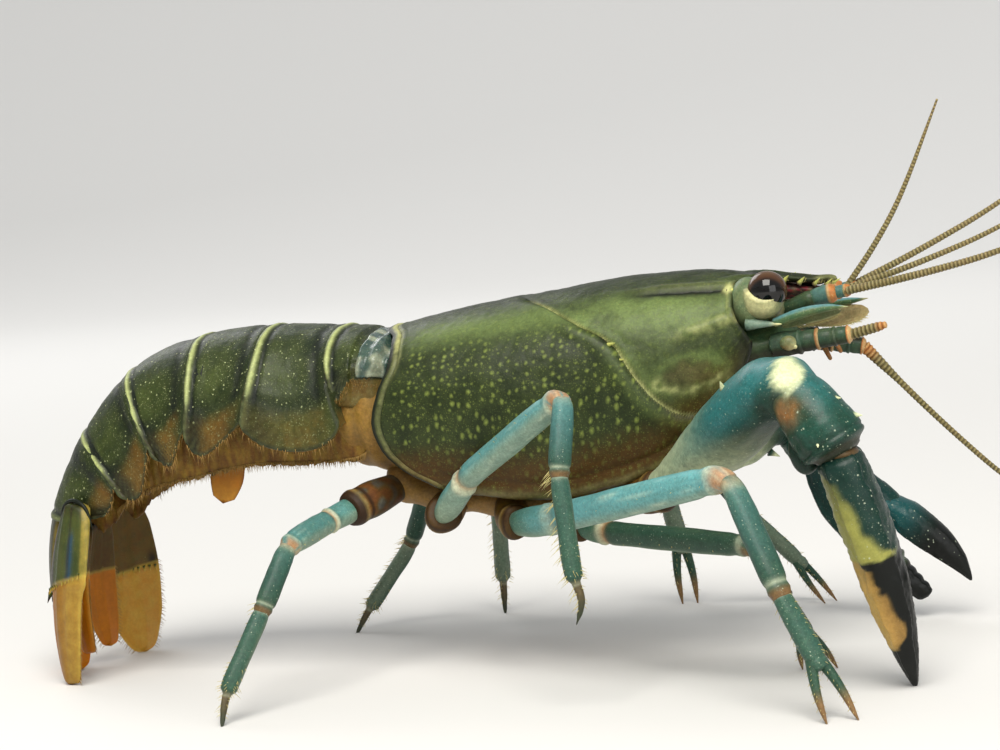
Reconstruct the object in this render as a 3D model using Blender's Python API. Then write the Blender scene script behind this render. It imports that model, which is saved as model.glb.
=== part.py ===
"""A still, life-size crayfish of the genus Cherax.

It stands on its walking legs with the claws lowered and the tail fan bent down to the floor.
Sizes are in millimetres: X runs forward, Y to the animal's left, and Z up from the floor.
"""
import math

import bmesh
import bpy
from mathutils import Matrix, Vector

# Driving dimensions of the whole animal
METRES = 0.001
GAP = 0.3
CARAPACE_FRONT = 30.2
ROSTRUM_TIP = 38.7
CARAPACE_HALF_WIDTH = 12.2
ABDOMEN_HALF_WIDTH = 10.2
EYE_RADIUS = 2.15
LIMB_FACES = 7

# Colours of the shell, as red, green and blue
OLIVE = (0.16, 0.19, 0.09)
DARK_GREEN = (0.05, 0.08, 0.04)
TEAL = (0.05, 0.19, 0.20)
SKY_BLUE = (0.14, 0.36, 0.42)
ORANGE = (0.55, 0.22, 0.06)
TAN = (0.36, 0.27, 0.12)
CREAM = (0.60, 0.60, 0.38)
BLACK = (0.01, 0.01, 0.01)

SIDES = {"R": -1, "L": 1}


def clear_scene():
    for thing in list(bpy.data.objects):
        bpy.data.objects.remove(thing, do_unlink=True)


# Curves and profiles


def profile(*knots):
    """A smooth function through (place, value) knots, level beyond both ends."""
    places = [knot[0] for knot in knots]
    values = [knot[1] for knot in knots]
    spans = [b - a for a, b in zip(places, places[1:])]
    steps = [(b - a) / span for a, b, span in zip(values, values[1:], spans)]
    slopes = [steps[0]]
    for before, after in zip(steps, steps[1:]):
        slopes.append(0.0 if before * after <= 0 else 2 * before * after / (before + after))
    slopes.append(steps[-1])

    def value(place):
        place = min(max(place, places[0]), places[-1])
        index = max(i for i in range(len(spans)) if places[i] <= place)
        t = (place - places[index]) / spans[index]
        rise = values[index + 1] - values[index]
        start, end = slopes[index] * spans[index], slopes[index + 1] * spans[index]
        return values[index] + t * (start + t * (3 * rise - 2 * start - end + t * (start + end - 2 * rise)))

    return value


class Route:
    """A smooth line through space, measured along its length."""

    STEP = 0.25

    def __init__(self, points, bend=2.0, side=(0, 0, 1)):
        self.side = Vector(side).normalized()
        corners = [Vector(point) for point in points]
        line = [corners[0]]
        marks = [0]
        for before, corner, after in zip(corners, corners[1:], corners[2:]):
            reach_in = min(bend, (corner - before).length * 0.48)
            reach_out = min(bend, (after - corner).length * 0.48)
            first = corner + (before - corner).normalized() * reach_in
            last = corner + (after - corner).normalized() * reach_out
            for step in range(13):
                t = step / 12
                line.append(first * (1 - t) ** 2 + corner * 2 * t * (1 - t) + last * t * t)
                if step == 6:
                    marks.append(len(line) - 1)
        line.append(corners[-1])
        marks.append(len(line) - 1)
        lengths = [0.0]
        for a, b in zip(line, line[1:]):
            lengths.append(lengths[-1] + (b - a).length)
        self.line, self.lengths = line, lengths
        self.joints = [lengths[mark] for mark in marks]

    def point(self, distance):
        if distance <= 0:
            return self.line[0] + (self.line[1] - self.line[0]).normalized() * distance
        if distance >= self.lengths[-1]:
            return self.line[-1] + (self.line[-1] - self.line[-2]).normalized() * (distance - self.lengths[-1])
        index = max(i for i, length in enumerate(self.lengths[:-1]) if length <= distance)
        span = self.lengths[index + 1] - self.lengths[index]
        return self.line[index].lerp(self.line[index + 1], (distance - self.lengths[index]) / span)

    def frame(self, distance):
        """The point, its direction, and the two directions across it."""
        ahead = (self.point(distance + self.STEP) - self.point(distance - self.STEP)).normalized()
        side = (self.side - ahead * self.side.dot(ahead)).normalized()
        return self.point(distance), ahead, side, ahead.cross(side)


# Solids


def wrap(around, stations, place):
    """A closed mesh: a grid rolled into a tube, where place(turn, station) gives each point."""
    mesh = bmesh.new()
    bmesh.ops.create_grid(mesh, x_segments=around, y_segments=len(stations) - 1, size=1.0)
    for vert in mesh.verts:
        turn = (vert.co.x + 1) / 2
        index = round((vert.co.y + 1) / 2 * (len(stations) - 1))
        vert.co = Vector(place(turn % 1.0 if turn < 0.9999 else 0.0, stations[index])) * METRES
    bmesh.ops.remove_doubles(mesh, verts=mesh.verts, dist=0.00001)
    rims = [edge for edge in mesh.edges if edge.is_boundary]
    if rims:
        caps = bmesh.ops.holes_fill(mesh, edges=rims)["faces"]
        bmesh.ops.triangulate(mesh, faces=caps)
    bmesh.ops.recalc_face_normals(mesh, faces=mesh.faces)
    return mesh


def steps(count, start=0.0, end=1.0):
    return [start + (end - start) * i / count for i in range(count + 1)]


def ellipsoid(centre, radii, around=10, along=6):
    middle = Vector(centre)

    def place(turn, station):
        angle, tilt = 2 * math.pi * turn, math.pi * station
        across = math.sin(tilt)
        return middle + Vector((radii[0] * across * math.cos(angle), radii[1] * across * math.sin(angle),
                                -radii[2] * math.cos(tilt)))

    return wrap(around, steps(along), place)


def tube(route, start, end, width, depth, around=8, rings=6):
    """A length of limb; width and depth give its half sizes at 0 to 1 along it."""

    def place(turn, station):
        centre, _, side, other = route.frame(start + (end - start) * station)
        angle = 2 * math.pi * turn
        return centre + other * width(station) * math.cos(angle) + side * depth(station) * math.sin(angle)

    return wrap(around, steps(rings), place)


def stand_on_floor(mesh):
    """Cuts a tip level with the floor, which leaves a small flat to stand on."""
    everything = mesh.verts[:] + mesh.edges[:] + mesh.faces[:]
    bmesh.ops.bisect_plane(mesh, geom=everything, plane_co=(0, 0, 0), plane_no=(0, 0, 1), clear_inner=True)
    bmesh.ops.holes_fill(mesh, edges=[edge for edge in mesh.edges if edge.is_boundary])
    bmesh.ops.recalc_face_normals(mesh, faces=mesh.faces)
    return mesh


def make_object(name, mesh, colour=OLIVE, roughness=0.35):
    data = bpy.data.meshes.new(name)
    mesh.to_mesh(data)
    mesh.free()
    data.shade_smooth()
    data.set_sharp_from_angle(angle=math.radians(50))
    material = bpy.data.materials.new(name)
    material.use_nodes = True
    shader = material.node_tree.nodes["Principled BSDF"]
    shader.inputs["Base Color"].default_value = (*colour, 1.0)
    shader.inputs["Roughness"].default_value = roughness
    shader.inputs["Metallic"].default_value = 0.0
    data.materials.append(material)
    thing = bpy.data.objects.new(name, data)
    bpy.context.scene.collection.objects.link(thing)
    return thing


def cut_or_join(thing, other, operation):
    """Applies a Boolean with the other object, which is then removed."""
    modifier = thing.modifiers.new(operation, "BOOLEAN")
    modifier.operation = operation
    modifier.solver = "EXACT"
    modifier.use_self = True
    modifier.object = other
    view = bpy.context.evaluated_depsgraph_get()
    result = bpy.data.meshes.new_from_object(thing.evaluated_get(view))
    thing.modifiers.clear()
    old = thing.data
    thing.data = result
    bpy.data.meshes.remove(old)
    result.name = thing.name
    bpy.data.objects.remove(other, do_unlink=True)


def join(thing, mesh):
    cut_or_join(thing, make_object("joined_shape", mesh), "UNION")


def clear_of(thing, neighbour, margin=GAP):
    """Cuts away what comes closer to the neighbour than the gap."""
    grown = neighbour.copy()
    grown.data = neighbour.data.copy()
    bpy.context.scene.collection.objects.link(grown)
    for vert in grown.data.vertices:
        vert.co += vert.normal * margin * METRES
    cut_or_join(thing, grown, "DIFFERENCE")


# Carapace

carapace_top = profile((-12, 38.2), (-2, 40.1), (7, 41.2), (15, 42.2), (22, 42.5), (27, 42.3),
                       (30, 41.9), (33.5, 41.3), (ROSTRUM_TIP, 40.5))
carapace_margin = profile((-12, 21.6), (-5, 21.4), (-1.4, 20.7), (7.5, 19.8), (13.2, 20.6), (18.7, 22.2),
                          (24, 25.8), (28.3, 31.0), (CARAPACE_FRONT, 34.0))
carapace_width = profile((-12, 0.86), (-6, 0.96), (2, 1.0), (9, 0.97), (15, 0.90), (22, 0.80), (27, 0.70),
                         (CARAPACE_FRONT, 0.63))
# How far back the rear edge reaches, by height from the lower margin to the top
carapace_rear = profile((0, -5.0), (0.12, -9.0), (0.26, -11.2), (0.42, -12.0), (0.6, -11.3), (0.8, -10.0),
                        (0.93, -10.3), (1.0, -12.0))
MARGIN_ANGLE = math.radians(124)
SHELL_SHARE = 0.72
LIP_SHARE = 0.80


def carapace_point(turn, station):
    """A point of the shell: turn runs from below, over the right side and the back, to below."""
    angle = 2 * turn - 1
    side, share = (-1 if angle < 0 else 1), abs(angle)
    sweep = min(share / SHELL_SHARE, 1.0) * MARGIN_ANGLE
    lean = math.cos(sweep)
    height = 0.45 + 0.55 * lean ** 0.92 if lean > 0 else 0.45 * (1 - lean / math.cos(MARGIN_ANGLE))
    reach = math.sin(sweep) ** 0.92
    back = carapace_rear(height)
    x = back + (CARAPACE_FRONT - back) * station
    low, top = carapace_margin(x), carapace_top(x)
    y = reach * CARAPACE_HALF_WIDTH * carapace_width(x)
    z = low + (top - low) * height
    if share > SHELL_SHARE:
        inward = min((share - SHELL_SHARE) / (LIP_SHARE - SHELL_SHARE), 1.0)
        across = 1.0 if share < LIP_SHARE else (1 - share) / (1 - LIP_SHARE)
        y *= (1 - 0.16 * inward) * across
        z += 1.3 * inward
    return Vector((x, side * y, z))


rostrum_width = profile((20, 2.6), (27, 3.9), (29.5, 3.2), (33, 2.4), (36.5, 1.55), (38.2, 0.7), (ROSTRUM_TIP, 0.2))
rostrum_sink = profile((20, 2.2), (26, 0.6), (29, 0.1), (ROSTRUM_TIP, 0.0))
rostrum_depth = profile((20, 2.2), (30, 2.4), (34, 1.7), (37, 1.0), (ROSTRUM_TIP, 0.3))


def rostrum():
    def place(turn, x):
        angle = 2 * math.pi * turn
        half, deep = rostrum_width(x), rostrum_depth(x)
        z = carapace_top(x) - rostrum_sink(x) - deep / 2 + deep / 2 * math.sin(angle)
        return Vector((x, half * math.cos(angle), z))

    return wrap(10, [20, 24, 28, 31, 33.5, 36, 37.6, ROSTRUM_TIP], place)


# Where the spines stand on each edge of the rostrum, and the base, tip and radius of the other spines
ROSTRUM_SPINES = (33.4, 35.2, 36.9)
POSTORBITAL_SPINE = ((26.2, 5.0, 40.2), (28.6, 5.1, 40.9), 0.75)
CERVICAL_SPINE = ((12.0, 9.6, 34.4), (14.2, 11.7, 35.1), 0.6)


def spine(base, tip, radius):
    """A short cone from base to tip."""
    route = Route([base, tip], side=(0.3, 0.5, 0.8))
    taper = profile((0, radius), (1, 0.12))
    return tube(route, 0, route.joints[-1], taper, taper, 4, 1)


def make_carapace():
    stations = [0.0, 0.06, 0.18, 0.32, 0.48, 0.64, 0.8, 0.92, 1.0]
    shell = make_object("carapace", wrap(26, stations, carapace_point), OLIVE)
    join(shell, rostrum())
    for letter, side in SIDES.items():
        for x in ROSTRUM_SPINES:
            inner, outer = rostrum_width(x) * 0.72, rostrum_width(x) * 1.12 + 0.25
            z = carapace_top(x) - 0.6
            join(shell, spine(on_side((x - 0.4, inner, z), side), on_side((x + 0.9, outer, z + 0.75), side), 0.5))
        for base, tip, radius in (POSTORBITAL_SPINE, CERVICAL_SPINE):
            join(shell, spine(on_side(base, side), on_side(tip, side), radius))
        cut_orbit(shell, letter)
    return shell


EYE_CENTRE = {"R": (32.0, 6.5, 41.0), "L": (31.6, 5.9, 39.2)}
ORBIT_CENTRE = {"R": (31.6, 6.4, 40.3), "L": (31.4, 6.2, 39.6)}
ORBIT_RADII = (3.3, 3.3, 3.3)


def cut_orbit(thing, letter):
    """The hollow that the eye and its stalk sit in."""
    centre = on_side(ORBIT_CENTRE[letter], SIDES[letter])
    cut_or_join(thing, make_object("orbit", ellipsoid(centre, ORBIT_RADII)), "DIFFERENCE")


# Thorax beneath the shell, with the first joint of each limb

LIMB_ROOTS = {
    1: ((15.0, 5.0, 20.2), (18.9, 8.6, 19.2)),
    2: ((8.2, 5.0, 18.6), (9.8, 8.5, 16.2)),
    3: ((1.4, 5.0, 18.8), (2.6, 9.3, 16.8)),
    4: ((-5.0, 5.0, 19.2), (-5.6, 9.3, 17.6)),
    5: ((-12.0, 4.5, 20.6), (-15.2, 9.3, 19.3)),
}
ROOT_RADIUS = {1: 2.5, 2: 1.9, 3: 2.0, 4: 2.1, 5: 2.1}


thorax_width = profile((-14, 3.0), (-11, 5.4), (0, 6.6), (12, 6.0), (18, 4.4), (21, 2.4))
thorax_low = profile((-14, 19.8), (-11, 18.2), (-4, 17.0), (6, 16.2), (13, 16.8), (18, 18.8), (21, 20.8))
thorax_top = profile((-14, 23.5), (-11.5, 23.6), (-9, 22.5), (-5, 21.8), (0, 21.3), (7.5, 20.7), (13, 21.5),
                     (18, 22.8), (21, 23.6))


def thorax_point(turn, x):
    angle = 2 * math.pi * turn
    low, top = thorax_low(x), thorax_top(x)
    z = (low + top) / 2 + (top - low) / 2 * math.sin(angle)
    return Vector((x, thorax_width(x) * math.cos(angle), z))


# Limbs, listed from the body outwards on the animal's right and left sides, with Y given outwards

LEG_JOINTS = {
    "2_R": ((14.1, 11.0, 15.7), (31.6, 21.0, 15.2), (33.3, 16.4, 8.9), (34.9, 12.2, 3.9)),
    "3_R": ((9.1, 13.5, 17.9), (30.0, 29.0, 23.7), (36.7, 34.0, 12.2), (41.0, 35.4, 5.4)),
    "4_R": ((-0.8, 14.0, 22.7), (12.7, 25.0, 32.2), (13.9, 28.5, 24.4), (14.5, 30.0, 14.2), (14.4, 30.0, 10.0)),
    "5_R": ((-17.6, 13.0, 18.2), (-19.0, 22.0, 17.2), (-20.9, 26.5, 10.9), (-24.0, 31.5, 2.9), (-24.1, 33.0, -0.3)),
    "2_L": ((12.6, 12.0, 18.5), (15.6, 26.0, 21.0), (21.5, 29.5, 11.6), (27.6, 31.5, 4.6)),
    "3_L": ((5.0, 14.0, 20.0), (9.7, 28.0, 26.4), (11.2, 31.6, 14.8), (12.6, 32.8, 6.8)),
    "4_L": ((-5.2, 14.0, 20.6), (-10.0, 25.5, 26.6), (-10.1, 30.6, 14.6), (-9.9, 31.0, 4.4), (-9.7, 30.2, -0.3)),
    "5_L": ((-15.8, 13.2, 18.6), (-15.5, 22.0, 18.6), (-19.3, 24.2, 10.0), (-24.6, 21.2, 2.4), (-25.8, 19.4, -0.3)),
}
# The tips of the small pincers on the second and third pairs
PINCER_TIPS = {
    "2_R": ((33.7, 10.0, 0.0), (37.4, 9.6, 0.0)),
    "3_R": ((40.3, 37.5, 0.0), (43.2, 36.0, 0.0)),
    "2_L": ((31.4, 32.0, 0.0), (30.2, 30.4, 0.0)),
    "3_L": ((12.2, 33.0, 0.0), (14.0, 33.4, 0.0)),
}
LEG_SIZE = {"2": 0.92, "3": 1.06, "4": 0.98, "5": 0.86}
UPPER_LEG = profile((0, 1.55), (0.14, 1.85), (0.3, 1.5), (0.6, 1.5), (0.9, 1.42), (1, 1.3))
CARPUS = profile((0, 1.2), (0.35, 1.32), (0.8, 1.3), (1, 1.1))
LONG_FOOT = profile((0, 1.1), (0.25, 1.12), (0.6, 0.95), (0.74, 0.72), (0.9, 0.45), (1, 0.2))
PALM = profile((0, 1.1), (0.3, 1.4), (0.8, 1.5), (1, 1.2))
FINGER = profile((0, 0.8), (0.3, 0.62), (0.8, 0.36), (1, 0.22))


def on_side(point, side):
    return (point[0], side * point[1], point[2])


def scaled(shape, size):
    return lambda station: shape(station) * size


def leg_route(name):
    pair, letter = name.split("_")
    side = SIDES[letter]
    root, coxa = LIMB_ROOTS[int(pair)]
    joints = [on_side(point, side) for point in (root, coxa, *LEG_JOINTS[name])]
    return joints, Route(joints, bend=2.6, side=(1, 0.2 * side, 0.4))


def make_leg(name):
    pair, letter = name.split("_")
    side = SIDES[letter]
    joints, route = leg_route(name)
    ends = route.joints
    size = LEG_SIZE[pair]
    label = f"leg_{pair}_{letter}_"
    upper, wrist = scaled(UPPER_LEG, size), scaled(CARPUS, size)
    make_object(label + "merus", tube(route, ends[1] + GAP / 2, ends[3] - GAP / 2, upper, upper, LIMB_FACES, 5),
                SKY_BLUE)
    make_object(label + "carpus", tube(route, ends[3] + GAP / 2, ends[4] - GAP / 2, wrist, wrist, LIMB_FACES, 2),
                TEAL)
    if name not in PINCER_TIPS:
        foot = scaled(LONG_FOOT, size)
        mesh = stand_on_floor(tube(route, ends[4] + GAP / 2, ends[6], foot, foot, LIMB_FACES, 5))
        make_object(label + "foot", mesh, TEAL)
        return
    palm = scaled(PALM, size)
    foot = make_object(label + "pincer", tube(route, ends[4] + GAP / 2, ends[5], palm, palm, LIMB_FACES, 2), TEAL)
    knuckle = Vector(joints[-1])
    inward = (route.point(ends[4]) - knuckle).normalized()
    for tip, lean in zip(PINCER_TIPS[name], (-0.45, 0.45)):
        tip = Vector(on_side(tip, side))
        spread = (tip - knuckle).normalized()
        toward = Vector(on_side(PINCER_TIPS[name][1], side)) - Vector(on_side(PINCER_TIPS[name][0], side))
        base = knuckle + inward * 1.0 + toward.normalized() * lean * size
        end = tip + spread * 0.4
        finger = Route([base, base.lerp(end, 0.5) + toward.normalized() * lean * 0.8, end], bend=4, side=(1, 0, 0.5))
        narrow = scaled(FINGER, size)
        join(foot, stand_on_floor(tube(finger, 0, finger.joints[-1], narrow, narrow, 5, 3)))


# Claw limbs

CLAW_LIMB = {
    "R": ((36.3, 24.0, 32.0), (41.8, 26.0, 25.0)),
    "L": ((28.8, 16.5, 24.8), (32.9, 18.0, 19.8)),
}
CLAW_TIP = {"R": (46.9, 19.6, -0.2), "L": (45.9, 18.6, 2.1)}
# How far each moving finger is opened
CLAW_OPENING = {"R": 0.0, "L": math.radians(20)}
# The direction from the moving finger to the fixed finger across each claw
CLAW_BROAD = {"R": (0.14, -0.99, 0.0), "L": (-0.76, 0.1, -0.64)}
CLAW_WIDTH = {"R": 1.0, "L": 0.86}
CLAW_MERUS = profile((0, 2.2), (0.2, 2.4), (0.45, 3.1), (0.8, 3.9), (0.95, 3.8), (1, 3.4))
CLAW_CARPUS = profile((0, 3.3), (0.3, 3.8), (0.7, 3.9), (1, 2.8))
FIXED_EDGE = {
    "R": profile((0, 2.5), (0.12, 3.5), (0.35, 4.3), (0.6, 3.9), (0.85, 2.3), (1, 0.7)),
    "L": profile((0, 2.6), (0.12, 4.2), (0.3, 5.5), (0.5, 5.4), (0.7, 4.4), (0.88, 3.1), (1, 2.2)),
}
PALM_EDGE = {
    "R": profile((0, -2.5), (0.1, -3.8), (0.3, -5.3), (0.45, -5.3), (0.47, -5.0), (0.485, 0.5), (0.7, 0.7),
                 (0.9, 0.45), (1, 0.1)),
    "L": profile((0, -2.3), (0.15, -2.9), (0.3, -3.7), (0.45, -4.4), (0.47, -4.2), (0.485, 0.5), (0.7, 0.7),
                 (0.9, 0.45), (1, 0.1)),
}
MOVING_EDGE = profile((0.5, -4.8), (0.56, -5.2), (0.75, -4.4), (0.9, -2.6), (1, -0.6))
CUTTING_EDGE = profile((0.5, -0.6), (0.7, -0.35), (0.9, -0.2), (1, 0.0))
CLAW_DEPTH = profile((0, 2.2), (0.12, 2.5), (0.3, 2.55), (0.42, 2.35), (0.6, 2.0), (0.84, 1.25), (0.95, 0.6),
                     (1, 0.3))


HINGE = (0.52, -3.2)


def claw_mesh(wrist, tip, broad, size, upper_edge, lower_edge, stations, opening=0.0):
    """Half of a claw between two edges, turned open about the hinge of its finger."""
    start, end = Vector(wrist), Vector(tip)
    ahead = (end - start).normalized()
    across = Vector(broad)
    across = (across - ahead * across.dot(ahead)).normalized()
    through = ahead.cross(across)
    hinge = start.lerp(end, HINGE[0]) + across * HINGE[1] * size
    turn_open = Matrix.Rotation(-opening, 3, through)

    def place(turn, station):
        angle = 2 * math.pi * turn
        top, low = upper_edge(station) * size, lower_edge(station) * size
        middle, half = (top + low) / 2, (top - low) / 2
        depth = CLAW_DEPTH(station) * min(1.0, 0.66 + half / 6)
        centre = start.lerp(end, station) + across * (middle + half * math.cos(angle))
        return hinge + turn_open @ (centre + through * depth * math.sin(angle) - hinge)

    return wrap(10, stations, place)


def claw_route(letter):
    side = SIDES[letter]
    root, coxa = LIMB_ROOTS[1]
    elbow, wrist = CLAW_LIMB[letter]
    joints = [on_side(point, side) for point in (root, coxa, elbow, wrist)]
    tip = Vector(on_side(CLAW_TIP[letter], side))
    forward = (tip - Vector(joints[-1])).normalized()
    return tip, Route([*joints, Vector(joints[-1]) + forward * 4], bend=4.2, side=(0.2, side, 0))


def make_claw_limb(letter):
    tip, route = claw_route(letter)
    ends = route.joints
    merus, carpus = scaled(CLAW_MERUS, CLAW_WIDTH[letter]), scaled(CLAW_CARPUS, CLAW_WIDTH[letter])
    make_object(f"claw_{letter}_merus", tube(route, ends[1] + GAP / 2, ends[2] - GAP / 2, merus, merus, 9, 6), TEAL)
    make_object(f"claw_{letter}_carpus", tube(route, ends[2] + GAP / 2, ends[3] - GAP / 2, carpus, carpus, 9, 3),
                TEAL)
    start = route.point(ends[3] + GAP / 2)
    size = CLAW_WIDTH[letter]
    last = {"R": [0.96, 1.0], "L": [0.94]}[letter]
    palm = claw_mesh(start, tip, CLAW_BROAD[letter], size, FIXED_EDGE[letter], PALM_EDGE[letter],
                     [0, 0.08, 0.18, 0.32, 0.45, 0.47, 0.485, 0.6, 0.75, 0.88, *last])
    finger = claw_mesh(start, tip, CLAW_BROAD[letter], size, CUTTING_EDGE, MOVING_EDGE,
                       [0.505, 0.54, 0.62, 0.75, 0.88, 0.96, 1.0], CLAW_OPENING[letter])
    palm = make_object(f"claw_{letter}_palm", stand_on_floor(palm) if letter == "R" else palm, TEAL)
    clear_of(palm, bpy.data.objects[f"claw_{letter}_carpus"])
    make_object(f"claw_{letter}_finger", stand_on_floor(finger) if letter == "R" else finger, BLACK)


# Abdomen

BACK_LINE = Route([(-8.5, 0, 37.6), (-17.0, 0, 39.2), (-31.0, 0, 39.8), (-42.5, 0, 37.0), (-50.3, 0, 28.6),
                   (-55.4, 0, 18.6), (-56.5, 0, 8.0), (-55.4, 0, -1.0)], bend=20, side=(0, 1, 0))
SOMITE_ENDS = [2.6, 9.4, 17.8, 27.2, 37.0, 46.0, 56.0]
SOMITE_WIDTHS = [0.90, 0.97, 1.0, 0.99, 0.95, 0.87, 0.76]
SOMITE_DEPTHS = [11.0, 12.0, 11.9, 11.5, 10.6, 8.6]
LOBE_DEPTHS = [0.0, 1.6, 1.3, 1.2, 1.0, 0.2]
# How far back the lower end of each boundary between somites leans, from the front of the first
PLEURON_SWEEPS = [1.6, -3.2, 2.7, 2.6, 3.0, 1.8, -8.5]
SWEEP_DEPTH = 12.0
BELLY_SHARE = 0.84
BELLY_SLACK = 0.6
# The lean forward, length and breadth of the swimmerets under somites 2 to 5, right and left
SWIMMERETS = {
    2: {"R": (0.7, 6.0, 1.0), "L": (0.7, 6.0, 1.0)},
    3: {"R": (0.3, 11.0, 1.35), "L": (0.3, 6.5, 1.0)},
    4: {"R": (0.3, 5.0, 1.0), "L": (0.3, 5.0, 1.0)},
    5: {"R": (0.25, 4.5, 0.9), "L": (0.25, 4.5, 0.9)},
}


def somite_point(number, turn, station):
    """A point of somite 1 to 6: station runs from its front to its rear."""
    angle = 2 * turn - 1
    side, share = (-1 if angle < 0 else 1), abs(angle)
    start, end = SOMITE_ENDS[number - 1] + GAP / 2, SOMITE_ENDS[number] - GAP / 2
    width = ABDOMEN_HALF_WIDTH * (SOMITE_WIDTHS[number - 1] * (1 - station) + SOMITE_WIDTHS[number] * station)
    lobe = LOBE_DEPTHS[number - 1] * max(math.sin(math.pi * station), 0.0) ** 0.7
    depth = SOMITE_DEPTHS[number - 1] + lobe
    sweep = min(share / 0.7, 1.0) * math.pi / 2
    y = width * math.sin(sweep) ** 0.82
    drop = depth * (1 - math.cos(sweep) ** 0.85)
    lean = PLEURON_SWEEPS[number - 1] * (1 - station) + PLEURON_SWEEPS[number] * station
    swept = lean * (drop / SWEEP_DEPTH) ** 2
    if share > 0.7:
        inward = min((share - 0.7) / 0.1, 1.0)
        y = (width - 1.8 * inward) * (1.0 if share < 0.8 else (1 - share) / 0.2)
        drop = depth + (SOMITE_DEPTHS[number - 1] * BELLY_SHARE - depth) * inward
        swept *= 1 - BELLY_SLACK * inward if lean > 0 else 1
    centre, ahead, across, inside = BACK_LINE.frame(start + (end - start) * station + swept)
    down = ahead.cross(Vector((0, 1, 0)))
    return centre + Vector((0, side * y, 0)) + down * drop


def blade(base, tip, broad, widths, depths, bow=0.0, around=8, stations=(0, 0.12, 0.35, 0.65, 0.88, 1)):
    """A flat lobe from base to tip, wide along broad and bowed through its thickness."""
    start, end = Vector(base), Vector(tip)
    ahead = (end - start).normalized()
    across = Vector(broad)
    across = (across - ahead * across.dot(ahead)).normalized()
    through = ahead.cross(across)

    def place(turn, station):
        angle = 2 * math.pi * turn
        lateral = math.cos(angle)
        arch = bow * (4 * station * (1 - station) + 0.6 * (1 - lateral * lateral))
        centre = start.lerp(end, station) + across * widths(station) * lateral
        return centre + through * (depths(station) * math.sin(angle) + arch)

    return wrap(around, list(stations), place)


def make_somite(number):
    stations = [0, 0.2, 0.55, 0.9, 1.0]
    mesh = wrap(22, stations, lambda turn, station: somite_point(number, turn, station))
    somite = make_object(f"abdomen_{number}", mesh, DARK_GREEN)
    if number in SWIMMERETS:
        middle = (SOMITE_ENDS[number - 1] + SOMITE_ENDS[number]) / 2
        centre, ahead, _, _ = BACK_LINE.frame(middle)
        down = ahead.cross(Vector((0, 1, 0)))
        for letter, side in SIDES.items():
            lean, length, breadth = SWIMMERETS[number][letter]
            base = centre + down * (SOMITE_DEPTHS[number - 1] * BELLY_SHARE - 1.2) + Vector((0, side * 5.2, 0))
            tip = base + (down * (1.25 - lean) + ahead * lean).normalized() * length
            widths = scaled(profile((0, 0.8), (0.25, 1.0), (0.7, 1.5), (0.95, 0.8), (1, 0.3)), breadth)
            depths = profile((0, 0.6), (0.5, 0.45), (1, 0.25))
            broad = ahead if lean < 0.5 else (0, 1, 0)
            lobe = blade(base, tip, broad, widths, depths, 0.0, 6, (0, 0.3, 0.7, 1))
            join(somite, lobe)
    return somite


# Tail fan


def make_telson():
    start = SOMITE_ENDS[6] + GAP / 2
    end = BACK_LINE.joints[-1] + 0.2
    widths = profile((0, 4.9), (0.3, 4.7), (0.7, 4.3), (0.9, 3.4), (1, 1.6))
    depths = profile((0, 1.0), (0.5, 0.7), (1, 0.35))

    def place(turn, station):
        angle = 2 * math.pi * turn
        centre, ahead, _, _ = BACK_LINE.frame(start + (end - start) * station)
        down = ahead.cross(Vector((0, 1, 0)))
        lateral = math.cos(angle)
        arch = 1.0 + 1.0 * lateral * lateral
        return centre + Vector((0, widths(station) * lateral, 0)) + down * (arch + depths(station) * math.sin(angle))

    return make_object("telson", stand_on_floor(wrap(10, steps(8), place)), DARK_GREEN)


UROPODS = {
    # base, tip, direction across, half width
    "uropod_R_outer": ((-47.9, -7.4, 21.0), (-50.2, -8.4, -0.3), (0.72, -0.62, 0.0), 4.1),
    "uropod_R_inner": ((-49.8, -3.6, 18.0), (-50.1, -4.6, -0.3), (0.7, -0.7, 0.0), 2.7),
    "uropod_L_outer": ((-50.0, 7.6, 21.0), (-49.8, 10.8, -0.3), (0.65, 0.76, 0.0), 4.1),
    "uropod_L_inner": ((-50.7, 2.6, 17.6), (-51.3, 3.9, -0.3), (0.5, 0.86, 0.0), 2.4),
}


def make_uropod(name):
    base, tip, broad, half = UROPODS[name]
    widths = scaled(profile((0, 0.5), (0.15, 0.85), (0.5, 1.0), (0.75, 0.93), (0.93, 0.6), (1, 0.35)), half)
    depths = profile((0, 1.0), (0.5, 0.6), (1, 0.35))
    bow = -1.2 if base[1] > 0 else 1.2
    return make_object(name, stand_on_floor(blade(base, tip, broad, widths, depths, bow)), ORANGE)


# Head

EYE_STALK = {"R": (31.3, 6.1, 39.7), "L": (31.2, 5.7, 38.9)}
STALK_ROOT = (32.0, 2.4, 38.0)
ANTENNULE = ((33.2, 2.4, 38.1), (36.5, 2.7, 39.4), (40.2, 2.7, 39.9))
ANTENNULE_FLAGELLA = {
    "R_outer": ((40.0, -3.0, 39.8), (47.0, -4.2, 41.0), (57.0, -5.5, 43.2), (66.0, -6.5, 46.8)),
    "R_inner": ((40.0, -2.2, 40.0), (47.0, -1.6, 42.0), (56.5, 0.2, 45.4), (64.5, 1.2, 50.0)),
    "L_outer": ((40.0, 3.0, 40.0), (47.0, 4.4, 43.2), (56.1, 6.0, 47.8), (64.0, 7.6, 53.4)),
    "L_inner": ((39.7, 2.4, 40.2), (42.4, 3.0, 44.0), (45.6, 4.0, 49.2), (50.0, 5.4, 59.5)),
}
FLAGELLUM_SIZE = {"R_outer": 0.46, "R_inner": 0.38, "L_outer": 0.40, "L_inner": 0.36}
ANTENNA_ROOT = (32.6, 5.6, 34.6)
ANTENNA_END = {"R": (41.2, 6.2, 35.4), "L": (40.2, 6.0, 33.0)}
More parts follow.
